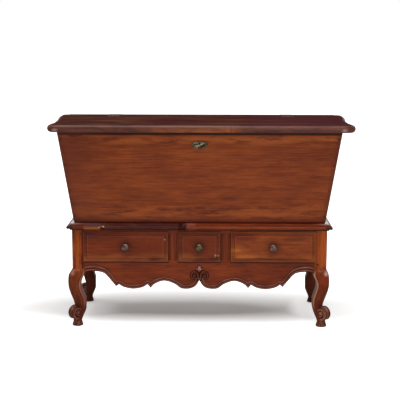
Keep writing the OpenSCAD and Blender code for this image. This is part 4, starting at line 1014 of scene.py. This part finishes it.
# %% Apron outline and carving
SPAN = 559.9
APRON_TOP, APRON_T = 332.0, 24.0
ARCH = [(1, 267), (0.965, 275), (0.9, 276), (0.83, 266), (0.77, 230), (0.728, 200.8)]
OUTER_LOBE = [(0.703, 212), (0.66, 198), (0.58, 190), (0.5, 197), (0.452, 212)]
INNER_LOBE = [(0.426, 194.8), (0.385, 216), (0.305, 230), (0.22, 216), (0.165, 195),
              (0.122, 190.2), (0.085, 192), (0.05, 198.5), (0.026, 209), (0.0105, 222.6),
              (0, 234.8)]
half_edge = [(x * SPAN, z) for keys in (ARCH, OUTER_LOBE, INNER_LOBE)
             for x, z in smooth_line(keys, 9)]
edge_line = [(-x, z) for x, z in half_edge] + [(x, z) for x, z in half_edge[-2::-1]]


def distance_to(px, pz, line):
    """For many points: the distance to a line of points, and how far along it that is."""
    best = np.full(px.shape, 1e9)
    along = np.zeros(px.shape)
    for i, ((ax, az), (bx, bz)) in enumerate(zip(line, line[1:])):
        dx, dz = bx - ax, bz - az
        t = np.clip(((px - ax) * dx + (pz - az) * dz) / max(dx * dx + dz * dz, 1e-9), 0, 1)
        d = np.hypot(px - ax - t * dx, pz - az - t * dz)
        closer = d < best
        best = np.where(closer, d, best)
        along = np.where(closer, (i + t) / (len(line) - 1), along)
    return best, along


def carved(px, pz, lines):
    """Height of ridges and how sunk the ground beside them is, which is also darkened as dirt and
    painted shade. A line is its points, its two widths and its height.
    """
    height, nearest = np.zeros(px.shape), np.full(px.shape, 1e9)
    for keys, wide, tip, tall in lines:
        d, along = distance_to(px, pz, smooth_line(keys, 6))
        width = wide + (tip - wide) * along
        height = np.maximum(height, tall * np.sqrt(np.clip(1 - (d / width) ** 2, 0, 1)))
        nearest = np.minimum(nearest, d - width)
    sunk = np.clip(1 - np.abs(nearest - 0.6) / 3.4, 0, 1) * (nearest > -0.4)
    return height - 1.6 * sunk, sunk, nearest


MOTIF_FOOT, MOTIF_WIDE, MOTIF_HIGH = 236, 0.88, 0.93    # drawn larger than it was cut
MOTIF = []
for s in (-1, 1):
    MOTIF += [
        ([(s * 3, 236), (s * 6, 250), (s * 8, 262), (s * 14, 273), (s * 25, 280), (s * 36, 277),
          (s * 44, 268), (s * 46, 257), (s * 41, 247), (s * 32, 243), (s * 24, 249),
          (s * 24, 258), (s * 30, 262), (s * 35, 258)], 4.6, 2.4, 5.0),
        ([(s * 31, 254), (s * 32, 256)], 4.6, 4.6, 4.6),
        ([(s * 4, 282), (s * 11, 291), (s * 17, 297)], 3.2, 2.0, 3.4),
        ([(s * 2, 266), (s * 5, 275), (s * 3, 284)], 2.6, 2.0, 3.2)]
MOTIF += [([(0, 289), (0, 297), (0, 304)], 10.2, 7.0, 5.6), ([(0, 240), (0, 262)], 1.4, 1.0, 2.0)]
MOTIF = [([(x * MOTIF_WIDE, lerp(MOTIF_FOOT, z, MOTIF_HIGH)) for x, z in keys], *rest)
         for keys, *rest in MOTIF]
print("apron edge of", len(edge_line), "points,", len(MOTIF), "carved lines")

# %% Apron net
# the bead over its distance from the edge: height, dirt and painted shade, and rub and painted
# highlight
BEAD_HEIGHT = ([0, 0.8, 2.2, 4.2, 6.6, 9, 10.8, 12.2, 13.6, 15.5],
               [-2.4, -0.6, 0.7, 1.6, 1.9, 1.5, 0.3, -1.3, -1.1, 0])
BEAD_DIRT_AND_SHADE = ([0, 2.6, 3.6, 6.4, 7.6, 10.6, 11.8, 14.6, 16, 19, 22],
             [0.9, 0.6, 0.0, 0.0, 0.9, 0.9, 0.0, 0.0, 0.6, 0.4, 0])
BEAD_RUB_AND_HIGHLIGHT = ([0, 2.8, 4, 6.4, 7.6, 11, 12.2, 14.6, 16],
            [0, 0, 0.7, 0.6, 0, 0, 0.9, 0.9, 0])
NEAR_ROWS = np.array([0, 0.7, 1.5, 2.6, 4, 5.5, 7, 8.6, 10, 11.4, 12.6, 13.8, 15.2, 17, 19,
                      21.5, 24])

columns = np.unique(np.concatenate([
    np.arange(-58, 58.1, 1.0), np.arange(58, SPAN, 2.2), -np.arange(58, SPAN, 2.2),
    [-SPAN, SPAN], [p[0] for p in edge_line]]).round(2))
low_edge = np.interp(columns, [p[0] for p in edge_line], [p[1] for p in edge_line])[:, None]
band_top = low_edge + NEAR_ROWS[-1]
rows = np.concatenate([low_edge + NEAR_ROWS,
                       band_top + (APRON_TOP - band_top) * np.linspace(0, 1, 58)[1:]], axis=1)
grid_x = np.repeat(columns[:, None], rows.shape[1], axis=1)
from_edge, _ = distance_to(grid_x, rows, edge_line)
from_edge /= 1.15 + 0.6 * np.clip((np.abs(grid_x) / SPAN - 0.72) / 0.2, 0, 1)
bead, dirt_and_shade, rub_and_highlight = (np.interp(from_edge, *shape) for shape in (BEAD_HEIGHT, BEAD_DIRT_AND_SHADE, BEAD_RUB_AND_HIGHLIGHT))
rub_and_highlight *= 0.75 + 0.35 * np.sin(grid_x * 0.031 + 1) * np.sin(grid_x * 0.083)
close = (np.abs(grid_x) < 62) & (rows > 226)
lift, sunk, beside = carved(grid_x, rows, MOTIF)
on_motif = close & (beside < 4)
out = np.where(on_motif, np.maximum(bead, 0) * (beside > 3) + lift, bead)
# the sunk ground and the motif's ground get dirt and painted shade
dirt_and_shade = np.where(close, np.maximum(dirt_and_shade * (beside > 2), sunk), dirt_and_shade)
dirt_and_shade = np.where(on_motif, np.where(lift > 4, 0.3, np.maximum(dirt_and_shade, 0.85)), dirt_and_shade)
# light lines on the ridges and on the top leaf are painted highlights
rub_and_highlight = np.where(on_motif, 0.6 * (lift > 4) * (np.sin(grid_x * 0.4 + rows * 0.5) > 0), rub_and_highlight)
rub_and_highlight = np.where(on_motif & (rows > 287) & (lift > 2), 1.9, rub_and_highlight)
rings = []
for i, x in enumerate(columns):
    ring = [(x, -HALF_D - out[i, j], rows[i, j], dirt_and_shade[i, j], rub_and_highlight[i, j])
            for j in range(rows.shape[1])]
    ring += [(x, -HALF_D + APRON_T, APRON_TOP), (x, -HALF_D + APRON_T, low_edge[i, 0])]
    rings.append([tuple(float(v) for v in p) for p in ring])
drawn("apron_carved", skin(rings), "apron_front", crisp=50)
print("apron net of", rows.size, "knots")

# %% [markdown]
# ## The waist moulding
# Four mitred lengths hide the joint between stand and trough: a rounded nose over a
# small hollow. The front one has had the hardest life. A splinter has broken off
# near its left end, a long run is worn flat, and a knot has fallen out. We sweep the
# section along the board and let the distance along it decide what is missing. The
# mitres come by themselves when each point's reach grows with how far it stands out.

# %% Waist moulding
SECTION = ([(-54, 0), (8, 0)] + arc((16, 0), 8, 180, 118, 6)
           + arc((15.5, 14.7), 8.5, -60, 75, 14)
           + [(12, 26.6), (6, 30.5), (5, 31.6), (3.6, 32), (-54, 32)])


def rough(x, z, scale, seed):
    return noise.noise(Vector((x * scale, z * scale * 1.7, seed)))


def between(start, full, fading, end, x):
    """0 up to start, 1 from full to fading, and 0 again from end on."""
    return ease(start, full, x) * (1 - ease(fading, end, x))


def missing(x, out, z):
    """What is lost from the front moulding at one point, and how dark the wound is."""
    if out < 5:
        return 0.0, 0.0
    slant = x + 494 - 1.15 * (26 - z) + 3 * rough(x, z, 0.3, 1)
    splinter = between(-3, 2, 12, 22, slant) * (1 - ease(21, 28, z))
    above = between(-489, -484, -466, -456, x) * ease(19, 24, z)
    flat = between(-455, -435, -106, -90, x)
    torn = 0.5 + 0.5 * rough(x, z, 0.07, 3) + 0.35 * rough(x, z, 0.2, 9)
    knot = between(-112, -96, -70, -55, x) * ease(0.34, 0.6, torn)
    lost = (splinter * (7 + 2 * rough(x, z, 0.22, 1)) + above * 2.4 + knot * 6
            + flat * (1.6 + 1.2 * rough(x, z, 0.035, 2)) * ease(5, 12, z)
            + 0.5 * rough(x, z, 0.02, 4) + 0.3 * rough(x, z, 0.11, 5))
    wound = max(splinter, knot, flat * 0.3 * (0.6 + rough(x, z, 0.05, 6)))
    return max(lost, -0.3), wound


def sound(x, out, z):
    return 0.35 * rough(x, z, 0.02, 8), 0.0


def moulding(half, other, count, damage):
    """One length along x, with its mitred ends."""
    rings = []
    for i in range(count + 1):
        ring = []
        for out, z in SECTION:
            x = lerp(-1, 1, i / count) * (half + out)
            lost, wound = damage(x, out, z) if abs(x) < half - 8 else (0.0, 0.0)
            # dirt and painted shade in the cove under the nose, and rub and painted highlight on
            # the front of the nose
            dirt_and_shade = max(wound, 0.8 * (8 < out < 13 and z < 8))
            rub_and_highlight = 0.35 * (out > 20) * (-40 < x < 595)
            ring.append((x, -(other + out - lost), STAND_H + z, dirt_and_shade, rub_and_highlight))
        rings.append(ring)
    return skin(rings)


drawn("waist_front_worn", moulding(HALF_W, HALF_D, 620, missing), "waist_front", crisp=50)
drawn("waist_back_worn", mirrored_shape(moulding(HALF_W, HALF_D, 200, sound), 1, -1),
      "waist_back", crisp=50)
points, faces = moulding(HALF_D, HALF_W, 120, sound)
for side, hand in (("left", -1), ("right", 1)):
    drawn("waist_%s_worn" % side, ([(-hand * p[1], p[0], *p[2:]) for p in points], faces),
          "waist_" + side, crisp=50)
print("moulding section of", len(SECTION), "points")

# %% [markdown]
# ## The trough's boards
# Four leaning boards, wider at the rim than at the foot. A board planed by hand has
# no knife edges: the foot of the front is rounded by two centuries of sweeping, the
# rim by hands and dough scrapers. Each board is a stack of rounded rectangles, one
# for each height, a little smaller at both ends.

# %% Trough boards
TROUGH_Z, TROUGH_H, TROUGH_T = 515.0, 448.0, 22.0
FOOT_X, FOOT_Y = 610.0, 245.0
WALL_X = TROUGH_T * math.hypot(1, END_LEAN)
WALL_Y = TROUGH_T * math.hypot(1, SIDE_LEAN)


def rounded_box(x0, x1, y0, y1, z, r, marks=()):
    corners = (((x1 - r, y1 - r), 0), ((x0 + r, y1 - r), 90), ((x0 + r, y0 + r), 180),
               ((x1 - r, y0 + r), 270))
    return [(px, py, z, *marks) for c, start in corners
            for px, py in arc(c, r, start, start + 90, 3)]


def leaning_board(sides, foot_round):
    """Rings from foot to rim. sides(h) gives x0, x1, y0, y1 at a height over the foot."""
    rings = []
    for h, shrink, dirt_and_shade, rub_and_highlight in (
            (0.1, foot_round, 0.6, 0), (1.5, foot_round * 0.6, 0.5, 0),
            (4, foot_round * 0.28, 0.3, 0), (9, foot_round * 0.08, 0.12, 0), (18, 0, 0, 0),
            (TROUGH_H - 16, 0, 0, 0), (TROUGH_H - 4, 0, 0, 0.1), (TROUGH_H - 1.6, 0.4, 0, 0.6),
            (TROUGH_H - 0.5, 1.2, 0, 0.9), (TROUGH_H, 2.6, 0, 0.8)):
        x0, x1, y0, y1 = sides(h)
        rings.append(rounded_box(x0 + shrink, x1 - shrink, y0 + shrink, y1 - shrink,
                                 TROUGH_Z + h, 2.0, (dirt_and_shade, rub_and_highlight)))
    return skin(rings)


def long_side(h):
    x, y = FOOT_X + END_LEAN * h, FOOT_Y + SIDE_LEAN * h
    return -x, x, -y, -y + WALL_Y


def short_side(h):
    x, y = FOOT_X + END_LEAN * h, FOOT_Y + SIDE_LEAN * h - WALL_Y - 0.1
    return x - WALL_X, x, -y, y


for near, away, board, (x, y) in (
        ("front", "back", leaning_board(long_side, 3.5), (1, -1)),
        ("end_right", "end_left", leaning_board(short_side, 1.2), (-1, 1))):
    drawn("trough_%s_eased" % near, board, "trough_" + near)
    drawn("trough_%s_eased" % away, mirrored_shape(board, x, y), "trough_" + away)
print("trough walls measure", round(WALL_X, 2), "and", round(WALL_Y, 2), "mm when level")

# %% [markdown]
# ## The lid
# Two boards joined along their length make the lid. In plan its ends draw in at the
# waist and swing out again to rounded corners. The edge is a full round nose, with a
# thin quirk where it meets the flat top. We draw half the plan once, move it inward
# along its own normals step by step as the nose climbs, and let a slow noise wobble
# the nose a little, because a moulding plane never runs quite true. The real lid
# isn't quite symmetrical either, so at last we push its right end out a little.

# %% Lid plan
RIM_Y = 291.0
LID_Z, LID_T, LID_FRONT, LID_SPLIT = 963.4, 36.2, -336.0, -36.0
CORNER_X, WAIST_X, REAR_X = 729.0, 715.0, 737.0
LID_END = [(CORNER_X, -288), (719.9, -218.1), (WAIST_X, -122.8), (717.6, LID_SPLIT),
           (722.7, 40.2), (734.4, 153.1), (REAR_X, 241)]
half_plan = [(x, LID_FRONT) for x in np.arange(12, CORNER_X - 52, 12)]
half_plan += arc((CORNER_X - 48, LID_FRONT + 48), 48, -90, -8, 14)
half_plan += smooth_line(LID_END, 9)
half_plan += arc((REAR_X - 40, RIM_Y - 38), 40, 4, 82, 12) + [(REAR_X - 48, RIM_Y + 28)]
half_plan = [(float(x), float(y)) for x, y in half_plan]
plan = half_plan + [(-x, y) for x, y in half_plan[::-1]]
split_at = min((i for i, (x, _) in enumerate(half_plan) if x >= 700),
               key=lambda i: abs(half_plan[i][1] - LID_SPLIT))
# the nose: inset, height, dirt and painted shade in the quirk, and rub and painted highlight
# along the round
NOSE = [(14 * (1 - math.cos(math.radians(a))), 17 * (1 + math.sin(math.radians(a))),
         0.0, 0.9 * max(0, math.cos(math.radians((a - 25) * 1.2)))) for a in range(-90, 91, 12)]
NOSE += [(14.5, 34.1, 1, 0), (15.2, 34.4, 1, 0), (15.6, 35.6, 0.6, 0), (16.2, 36.1, 0, 0.5),
         (18.5, LID_T, 0, 0.3), (40, LID_T, 0, 0)]
print("lid plan of", len(plan), "points, boards meet at point", split_at)


# %% Lid boards
def moved_in(line, d):
    """A closed line, each point moved inward along the line's own normal."""
    made = []
    for i, (x, y) in enumerate(line):
        ax, ay = line[i - 1]
        bx, by = line[(i + 1) % len(line)]
        size = math.hypot(bx - ax, by - ay)
        made.append((x - d * (by - ay) / size, y + d * (bx - ax) / size))
    return made


def reach(x, y):
    """The right end stands out 10 mm more than the plan says, the left front 5 mm less."""
    return x + 10 * ease(600, 715, x) + 5 * ease(600, 715, -x) * (1 - ease(-250, -80, y))


def lid_board(first, last, meet):
    rings = []
    for inset, z, dirt_and_shade, rub_and_highlight in NOSE:
        line = moved_in(plan, inset)
        half = []
        for i in range(first, last + 1):
            x, y = line[i]
            wave = 0.5 * rough(x, y, 0.012, 20) * (z < 34)
            y = min(meet if i == split_at else y, RIM_Y)
            half.append((x + wave * (x > 700), y + wave * (x < 690), LID_Z + z, dirt_and_shade,
                         rub_and_highlight * (0.6 + 0.5 * rough(x, y, 0.01, 21))))
        rings.append(half + [(-x, *rest) for x, *rest in half[::-1]])
    points, faces = skin(rings)
    return [(reach(x, y), y, *rest) for x, y, *rest in points], faces


for end, first, last, gap in (("front", 0, split_at, -0.25),
                              ("rear", split_at, len(half_plan) - 1, 0.25)):
    drawn("lid_board_%s_nosed" % end, lid_board(first, last, LID_SPLIT + gap),
          "lid_board_" + end, crisp=50)
print("lid nose of", len(NOSE), "rings")

# %% [markdown]
# ## Drawer fronts and muntins
# Each drawer front overlaps its opening with a moulded lip, so that no gap shows. The
# lip is a quarter round with a small step to the flat field. Behind it sits the block
# that fills the opening. Between the drawers stand muntins with a scratched bead
# near each edge.

# %% Drawer fronts
RUNNER_Z, OPEN_H = 332.0, 136.0
LIP, LIP_TOP = 6, 9        # how far the lip overlaps at the sides and foot, and on top
# the lip and its field: inset, how far it stands out, dirt and painted shade along the gap, and
# rub and painted highlight on the round and the step
PANEL = [(0.6, 0, 1, 0), (0, 0.6, 1, 0), (0, 1.8, 1, 0), (0.6, 3.2, 0.8, 0)]
PANEL += [(14 * (1 - math.cos(math.radians(a))), 1.8 + 5.4 * math.sin(math.radians(a)), *marks)
          for a, *marks in ((24, 0.1, 0.5), (34, 0, 0.7), (46, 0.1, 0.2), (60, 0.25, 0),
                            (74, 0.3, 0), (90, 0.3, 0))]
PANEL += [(16.5, 7.2, 0.3, 0), (18.5, 6.8, 0.5, 0), (20, 7.2, 0.4, 0), (20.6, 8.7, 0.1, 0.3),
          (21.6, 9.0, 0, 0.5), (24, 9.0, 0, 0.3), (27, 9.0, 0, 0), (40, 9.0, 0, 0)]


def raised_panel(x0, x1, z0, z1, y, r=1.2):
    rings = []
    for inset, out, *marks in PANEL:
        ring = rounded_box(x0 + inset, x1 - inset, z0 + inset, z1 - inset, 0, r)
        rings.append([(px, y - out, pz, *marks) for px, pz, _ in ring])
    return skin(rings)


def block(x0, x1, y0, y1, z0, z1, r):
    return skin([rounded_box(x0 + shrink, x1 - shrink, y0 + shrink, y1 - shrink, z, 1.0)
                 for z, shrink in ((z0, r), (z0 + r * 0.3, r * 0.3), (z0 + r, 0), (z1 - r, 0),
                                   (z1 - r * 0.3, r * 0.3), (z1, r))])


for side, (middle, wide) in DRAWERS.items():
    half = wide / 2
    panel = raised_panel(middle - half - LIP, middle + half + LIP, RUNNER_Z - LIP,
                         RUNNER_Z + OPEN_H + LIP_TOP, -HALF_D - 0.4)
    fill = block(middle - half + 1.06, middle + half - 1.06, -HALF_D - 0.6, -HALF_D + 15,
                 RUNNER_Z + 0.3, RUNNER_Z + OPEN_H - 3, 0.4)
    drawn("drawer_%s_moulded" % side, joined(panel, fill), "drawer_%s_front" % side)
print("drawer fronts of", len(PANEL), "steps")

# %% Muntins
MUNTIN_X = 127.5
# half the muntin's face: place, depth, dirt and painted shade next to the drawers' lips, and rub
# and painted highlight on the bead
ACROSS = [(-30.5, 0, 1, 0), (-25, 0, 1, 0), (-24, 0.5, 1, 0), (-23.2, 2.2, 1, 0),
          (-22, 0.4, 0.5, 0), (-20.5, -0.1, 0, 0.4), (-19, 0.4, 0, 0.6), (-17.8, 2.2, 0.8, 0),
          (-16, 0.5, 0.6, 0), (-13.5, 0, 0, 0), (0, 0, 0, 0.2)]
ACROSS += [(-x, *rest) for x, *rest in ACROSS[-2::-1]]
for side, hand in (("left", -1), ("right", 1)):
    middle = hand * MUNTIN_X
    post = skin([[(middle + x, -HALF_D + deep, z, *marks) for x, deep, *marks in ACROSS]
                 + [(middle + 30.5, -HALF_D + 20, z), (middle - 30.5, -HALF_D + 20, z)]
                 for z in (332.1, 332.6, 338, 462, 467.4, 467.9)])
    tenons = [block(middle - 22.5, middle + 22.5, -HALF_D + 6, -HALF_D + 14, z0, z1, 0.5)
              for z0, z1 in ((324, 334), (466, 476))]
    drawn("muntin_%s_beaded" % side, joined(post, *tenons), "muntin_" + side)
print("two beaded muntins at", MUNTIN_X, "mm from the middle")

# %% [markdown]
# ## Whittled pegs
# No joint of the stand is screwed. Riven pegs, cut eight-sided with a knife, were
# driven through the tenons and trimmed by eye, so each stands out a little and has a
# dark ring where dirt has found the gap. The CAD model has round ones. We spin a
# profile in eight steps instead of forty, which leaves the knife's facets. The pegs
# of the trough lie in its leaning front, so they are drawn flat and then laid there.

# %% Pegs
LEAN, QUARTER = math.atan(SIDE_LEAN), math.pi / 2


def at(x, y, z):
    return Matrix.Translation((x, y, z))


def about(axis, angle):
    return Matrix.Rotation(angle, 4, axis)


def laid(shape, matrix):
    """Moves a shape by a matrix and keeps its marks."""
    points, faces = shape
    return [(*(matrix @ Vector(p[:3])), *p[3:]) for p in points], faces


def peg(r, ring=1.0, polish=0.2):
    return turned([(0.3, -9), (r - 0.6, -9), (r - 0.4, -0.2), (r + 0.9, -0.1, ring, 0),
                   (r + 0.9, 0.12, ring, polish), (r, 0.14, ring, polish),
                   (r - 0.1, 0.6, 0.4 * ring, polish), (r - 0.9, 1.0, 0, polish),
                   (0.3, 1.1, 0, polish)], 8)


def four_ways(places, turn, polished=()):
    """Pegs at some places and at their mirror images left of the middle."""
    made = []
    for n, place in enumerate(places):
        head = peg(4.2, 0.0, 1.3) if n in polished else peg(4.2)
        head = laid(head, at(*place) @ turn @ about("Z", n * 0.7))
        made += [head, mirrored_shape(head, -1)]
    return joined(*made)


ON_FRONT = at(0, -RIM_Y, TROUGH_Z + TROUGH_H) @ about("X", QUARTER + LEAN)
to_front, to_side = about("X", QUARTER), about("Y", QUARTER)
STAND_PEGS = {"front": ([(574, -HALF_D, z) for z in (287.2, 314.2)], to_front, (0,)),
              "back": ([(574, HALF_D, z) for z in (316.7, 443)], to_front.inverted()),
              "sides": ([(HALF_W, y, z) for y in (-209, 209) for z in (300.7, 459)], to_side)}
for side, where in STAND_PEGS.items():
    drawn("pegs_%s_whittled" % side, four_ways(*where), "pegs_" + side)
rows_of_pegs = []
for n in range(4):
    up = lerp(36, TROUGH_H - 36, n / 3)
    for hand in (-1, 1):
        place = at(hand * (FOOT_X + END_LEAN * up - 11.1), -(TROUGH_H - up) / math.cos(LEAN), 0)
        head = laid(peg(4.6, 1.0 if (n, hand) == (3, 1) else 0.0),
                    ON_FRONT @ place @ about("Z", n + hand))
        rows_of_pegs += [head, mirrored_shape(head, 1, -1)]
drawn("trough_pegs_whittled", joined(*rows_of_pegs), "trough_pegs",
      material=wood("pale peg end grain", Z, WALNUT_DARK, 91))
print("pegs:", 2 * sum(len(where[0]) for where in STAND_PEGS.values()) + len(rows_of_pegs))

# %% [markdown]
# ## Knobs, escutcheon and screws
# The knobs were turned: a thin foot, a narrow neck and a soft dome, drawn as one
# profile and spun. Their lower side is painted dark as shade, and their dome carries
# a painted highlight. The escutcheon is a thin cast oval with a raised rim and a
# leaf across it, whose crest is polished and carries a painted highlight. The
# slotted screws hold the hinge leaves and the lock, and are too small for the CAD.

# %% Knobs
KNOB = [(0.4, -15), (3.4, -15), (3.4, 0), (13.2, 0, 1, 0), (13.7, 0.5, 0.6, 0),
        (13.4, 1.2, 0, 0.3), (11.6, 2.2, 0.2, 0), (8.4, 3.4, 0.7, 0), (6.2, 5, 1, 0),
        (5.3, 7.5, 1, 0), (5.6, 10, 0.9, 0), (7.6, 12.8, 0.8, 0), (11, 14.6, 0.6, 0),
        (15.4, 15.4, 0.3, 0.1), (18.1, 16.8, 0, 0.6), (18.9, 18.6, 0, 0.9), (18.5, 20.6, 0, 1),
        (17, 22.4, 0, 0.8), (14.4, 24.2, 0, 0.5), (11, 25.8, 0, 0.4), (7.4, 26.7, 0, 0.5),
        (5.4, 26.9, 0, 0.6), (4.2, 26.8, 0.1, 0.4), (3.0, 26.4, 0.1, 0.3), (1.6, 26.2, 0.1, 0.3),
        (0.3, 26.1, 0.1, 0.3)]
KNOB_Z = RUNNER_Z + OPEN_H / 2
for side, (middle, _) in DRAWERS.items():
    points, faces = laid(turned(KNOB), at(middle, -HALF_D - 0.4 - 9 - 0.1, KNOB_Z) @ to_front)
    for i, (x, y, z, *marks) in enumerate(points):
        # painted shade on the knob's lower side: darker, and no highlight there
        low = ease(3, -15, (z - KNOB_Z) * 0.8 - (x - middle) * 0.3)
        dirt_and_shade, rub_and_highlight = marks or (0, 0)
        points[i] = (x, y, z, min(1.0, dirt_and_shade + 0.6 * low), rub_and_highlight * (1 - low))
    drawn("knob_%s_turned" % side, (points, faces), "drawer_%s_knob" % side)
print("knobs of", len(KNOB), "steps")

# %% Escutcheon and keyhole
PLATE_HALF_W, PLATE_HALF_H, PLATE_DOWN = 39, 19, 61
PLATE = [(share, 1.6) for share in (0.02, 0.12, 0.22, 0.32, 0.42, 0.52, 0.62, 0.72, 0.80)]
PLATE += [(0.86, 1.9), (0.91, 2.9), (0.95, 3.0), (0.985, 2.3), (1.0, 1.0), (1.0, 0.1)]


def oval_plate(a, b):
    """A cast oval with a rim, and a leaf that rises and falls across it."""
    rings = []
    for share, base in PLATE:
        rings.append([])
        for x, y in circle(share, 72):
            x, y = a * x, b * y
            spine = -5.5 + 13 * ease(-12, 22, x)
            crest = max(0.0, 1 - abs(y - spine) / 4.0) * between(-27, -16, 19, 27, x)
            dirt_and_shade = (1 - crest) * (0.15 if share < 0.86 else 0.5)
            if share < 0.8 and (y < spine - 5 and x > 4 or abs(y - spine - 8) < 3 and x < -4):
                dirt_and_shade = 0.9
            # the leaf's crest is rubbed bright and carries a painted highlight
            rings[-1].append((x, y, base + 1.3 * crest * (share < 0.9), dirt_and_shade, crest))
    return skin(rings[::-1])


plate = laid(oval_plate(PLATE_HALF_W, PLATE_HALF_H), ON_FRONT @ at(0, -PLATE_DOWN, 0.1))
pin = turned([(0.3, -8), (1, -8), (1, 3.2), (2.1, 3.2), (1.9, 3.9), (1, 4.3), (0.3, 4.4)], 16)
pins = [laid(pin, ON_FRONT @ at(s * 32, -PLATE_DOWN, 0)) for s in (-1, 1)]
drawn("escutcheon_cast", joined(plate, *pins), "escutcheon")
keyhole = arc((0, 0), 3.6, -58, 238, 18) + [(-1.9, -11), (1.9, -11)]
key_slot = skin([[(x, y, z, 1, 0) for x, y in keyhole] for z in (1.7, 2.35, 2.36)])
drawn("keyhole_shadow", laid(key_slot, ON_FRONT @ at(0, -54, 0)), body="root",
      material=metal("keyhole dark", tone(14, 11, 8), tone(30, 24, 18), 0.9, 0.0))
print("escutcheon of", 2 * PLATE_HALF_W, "by", 2 * PLATE_HALF_H, "mm")

# %% Screws
HINGE_X, HINGE_SCREW, LOCK_SCREW = 450, 4.2, 3.4


def screw_head(r):
    """A countersunk head with a dark bar across it, painted shade that stands for its slot."""
    dome = skin([[(x, y, high, dirt_and_shade, rub_and_highlight) for x, y in circle(r * share, 24)]
                 for share, high, dirt_and_shade, rub_and_highlight in ((1, 0.0, 1, 0), (0.97, 0.35, 0.1, 0.5),
                                                (0.8, 0.5, 0.1, 0.5))])
    corners = [(x * r * 0.82, y * 0.5) for x, y in ((-1, -1), (1, -1), (1, 1), (-1, 1))]
    return joined(dome, skin([[(x, y, z, 1, 0) for x, y in corners] for z in (0.1, 0.52)]))


ON_BACK = (at(0, RIM_Y + 0.4, TROUGH_Z + TROUGH_H) @ about("Z", math.pi)
           @ about("X", QUARTER + LEAN))
IN_FRONT = ON_FRONT @ at(0, 0, -TROUGH_T - 21) @ about("Y", math.pi)
on_lid = [laid(screw_head(HINGE_SCREW), at(s * HINGE_X + x, RIM_Y - y, 999.9)
               @ about("Z", x + y)) for s in (-1, 1)
          for x, y in ((-20, 100), (20, 100), (0, 60), (-20, 20), (20, 20))]
on_trough = [laid(screw_head(HINGE_SCREW), ON_BACK @ at(s * HINGE_X + x, -y, 3.0))
             for s in (-1, 1) for x, y in ((-20, 30), (20, 30), (-20, 74), (20, 74))]
on_trough += [laid(screw_head(LOCK_SCREW), IN_FRONT @ at(s * 55, y, 0))
              for s in (-1, 1) for y in (-15, -61)]
drawn("lid_screws", joined(*on_lid), body="lid", material=LOOK["hinge_leaves_lid"])
drawn("trough_screws", joined(*on_trough), body="root", material=LOOK["hinge_leaves_trough"])
print(len(on_lid) + len(on_trough), "screw heads")
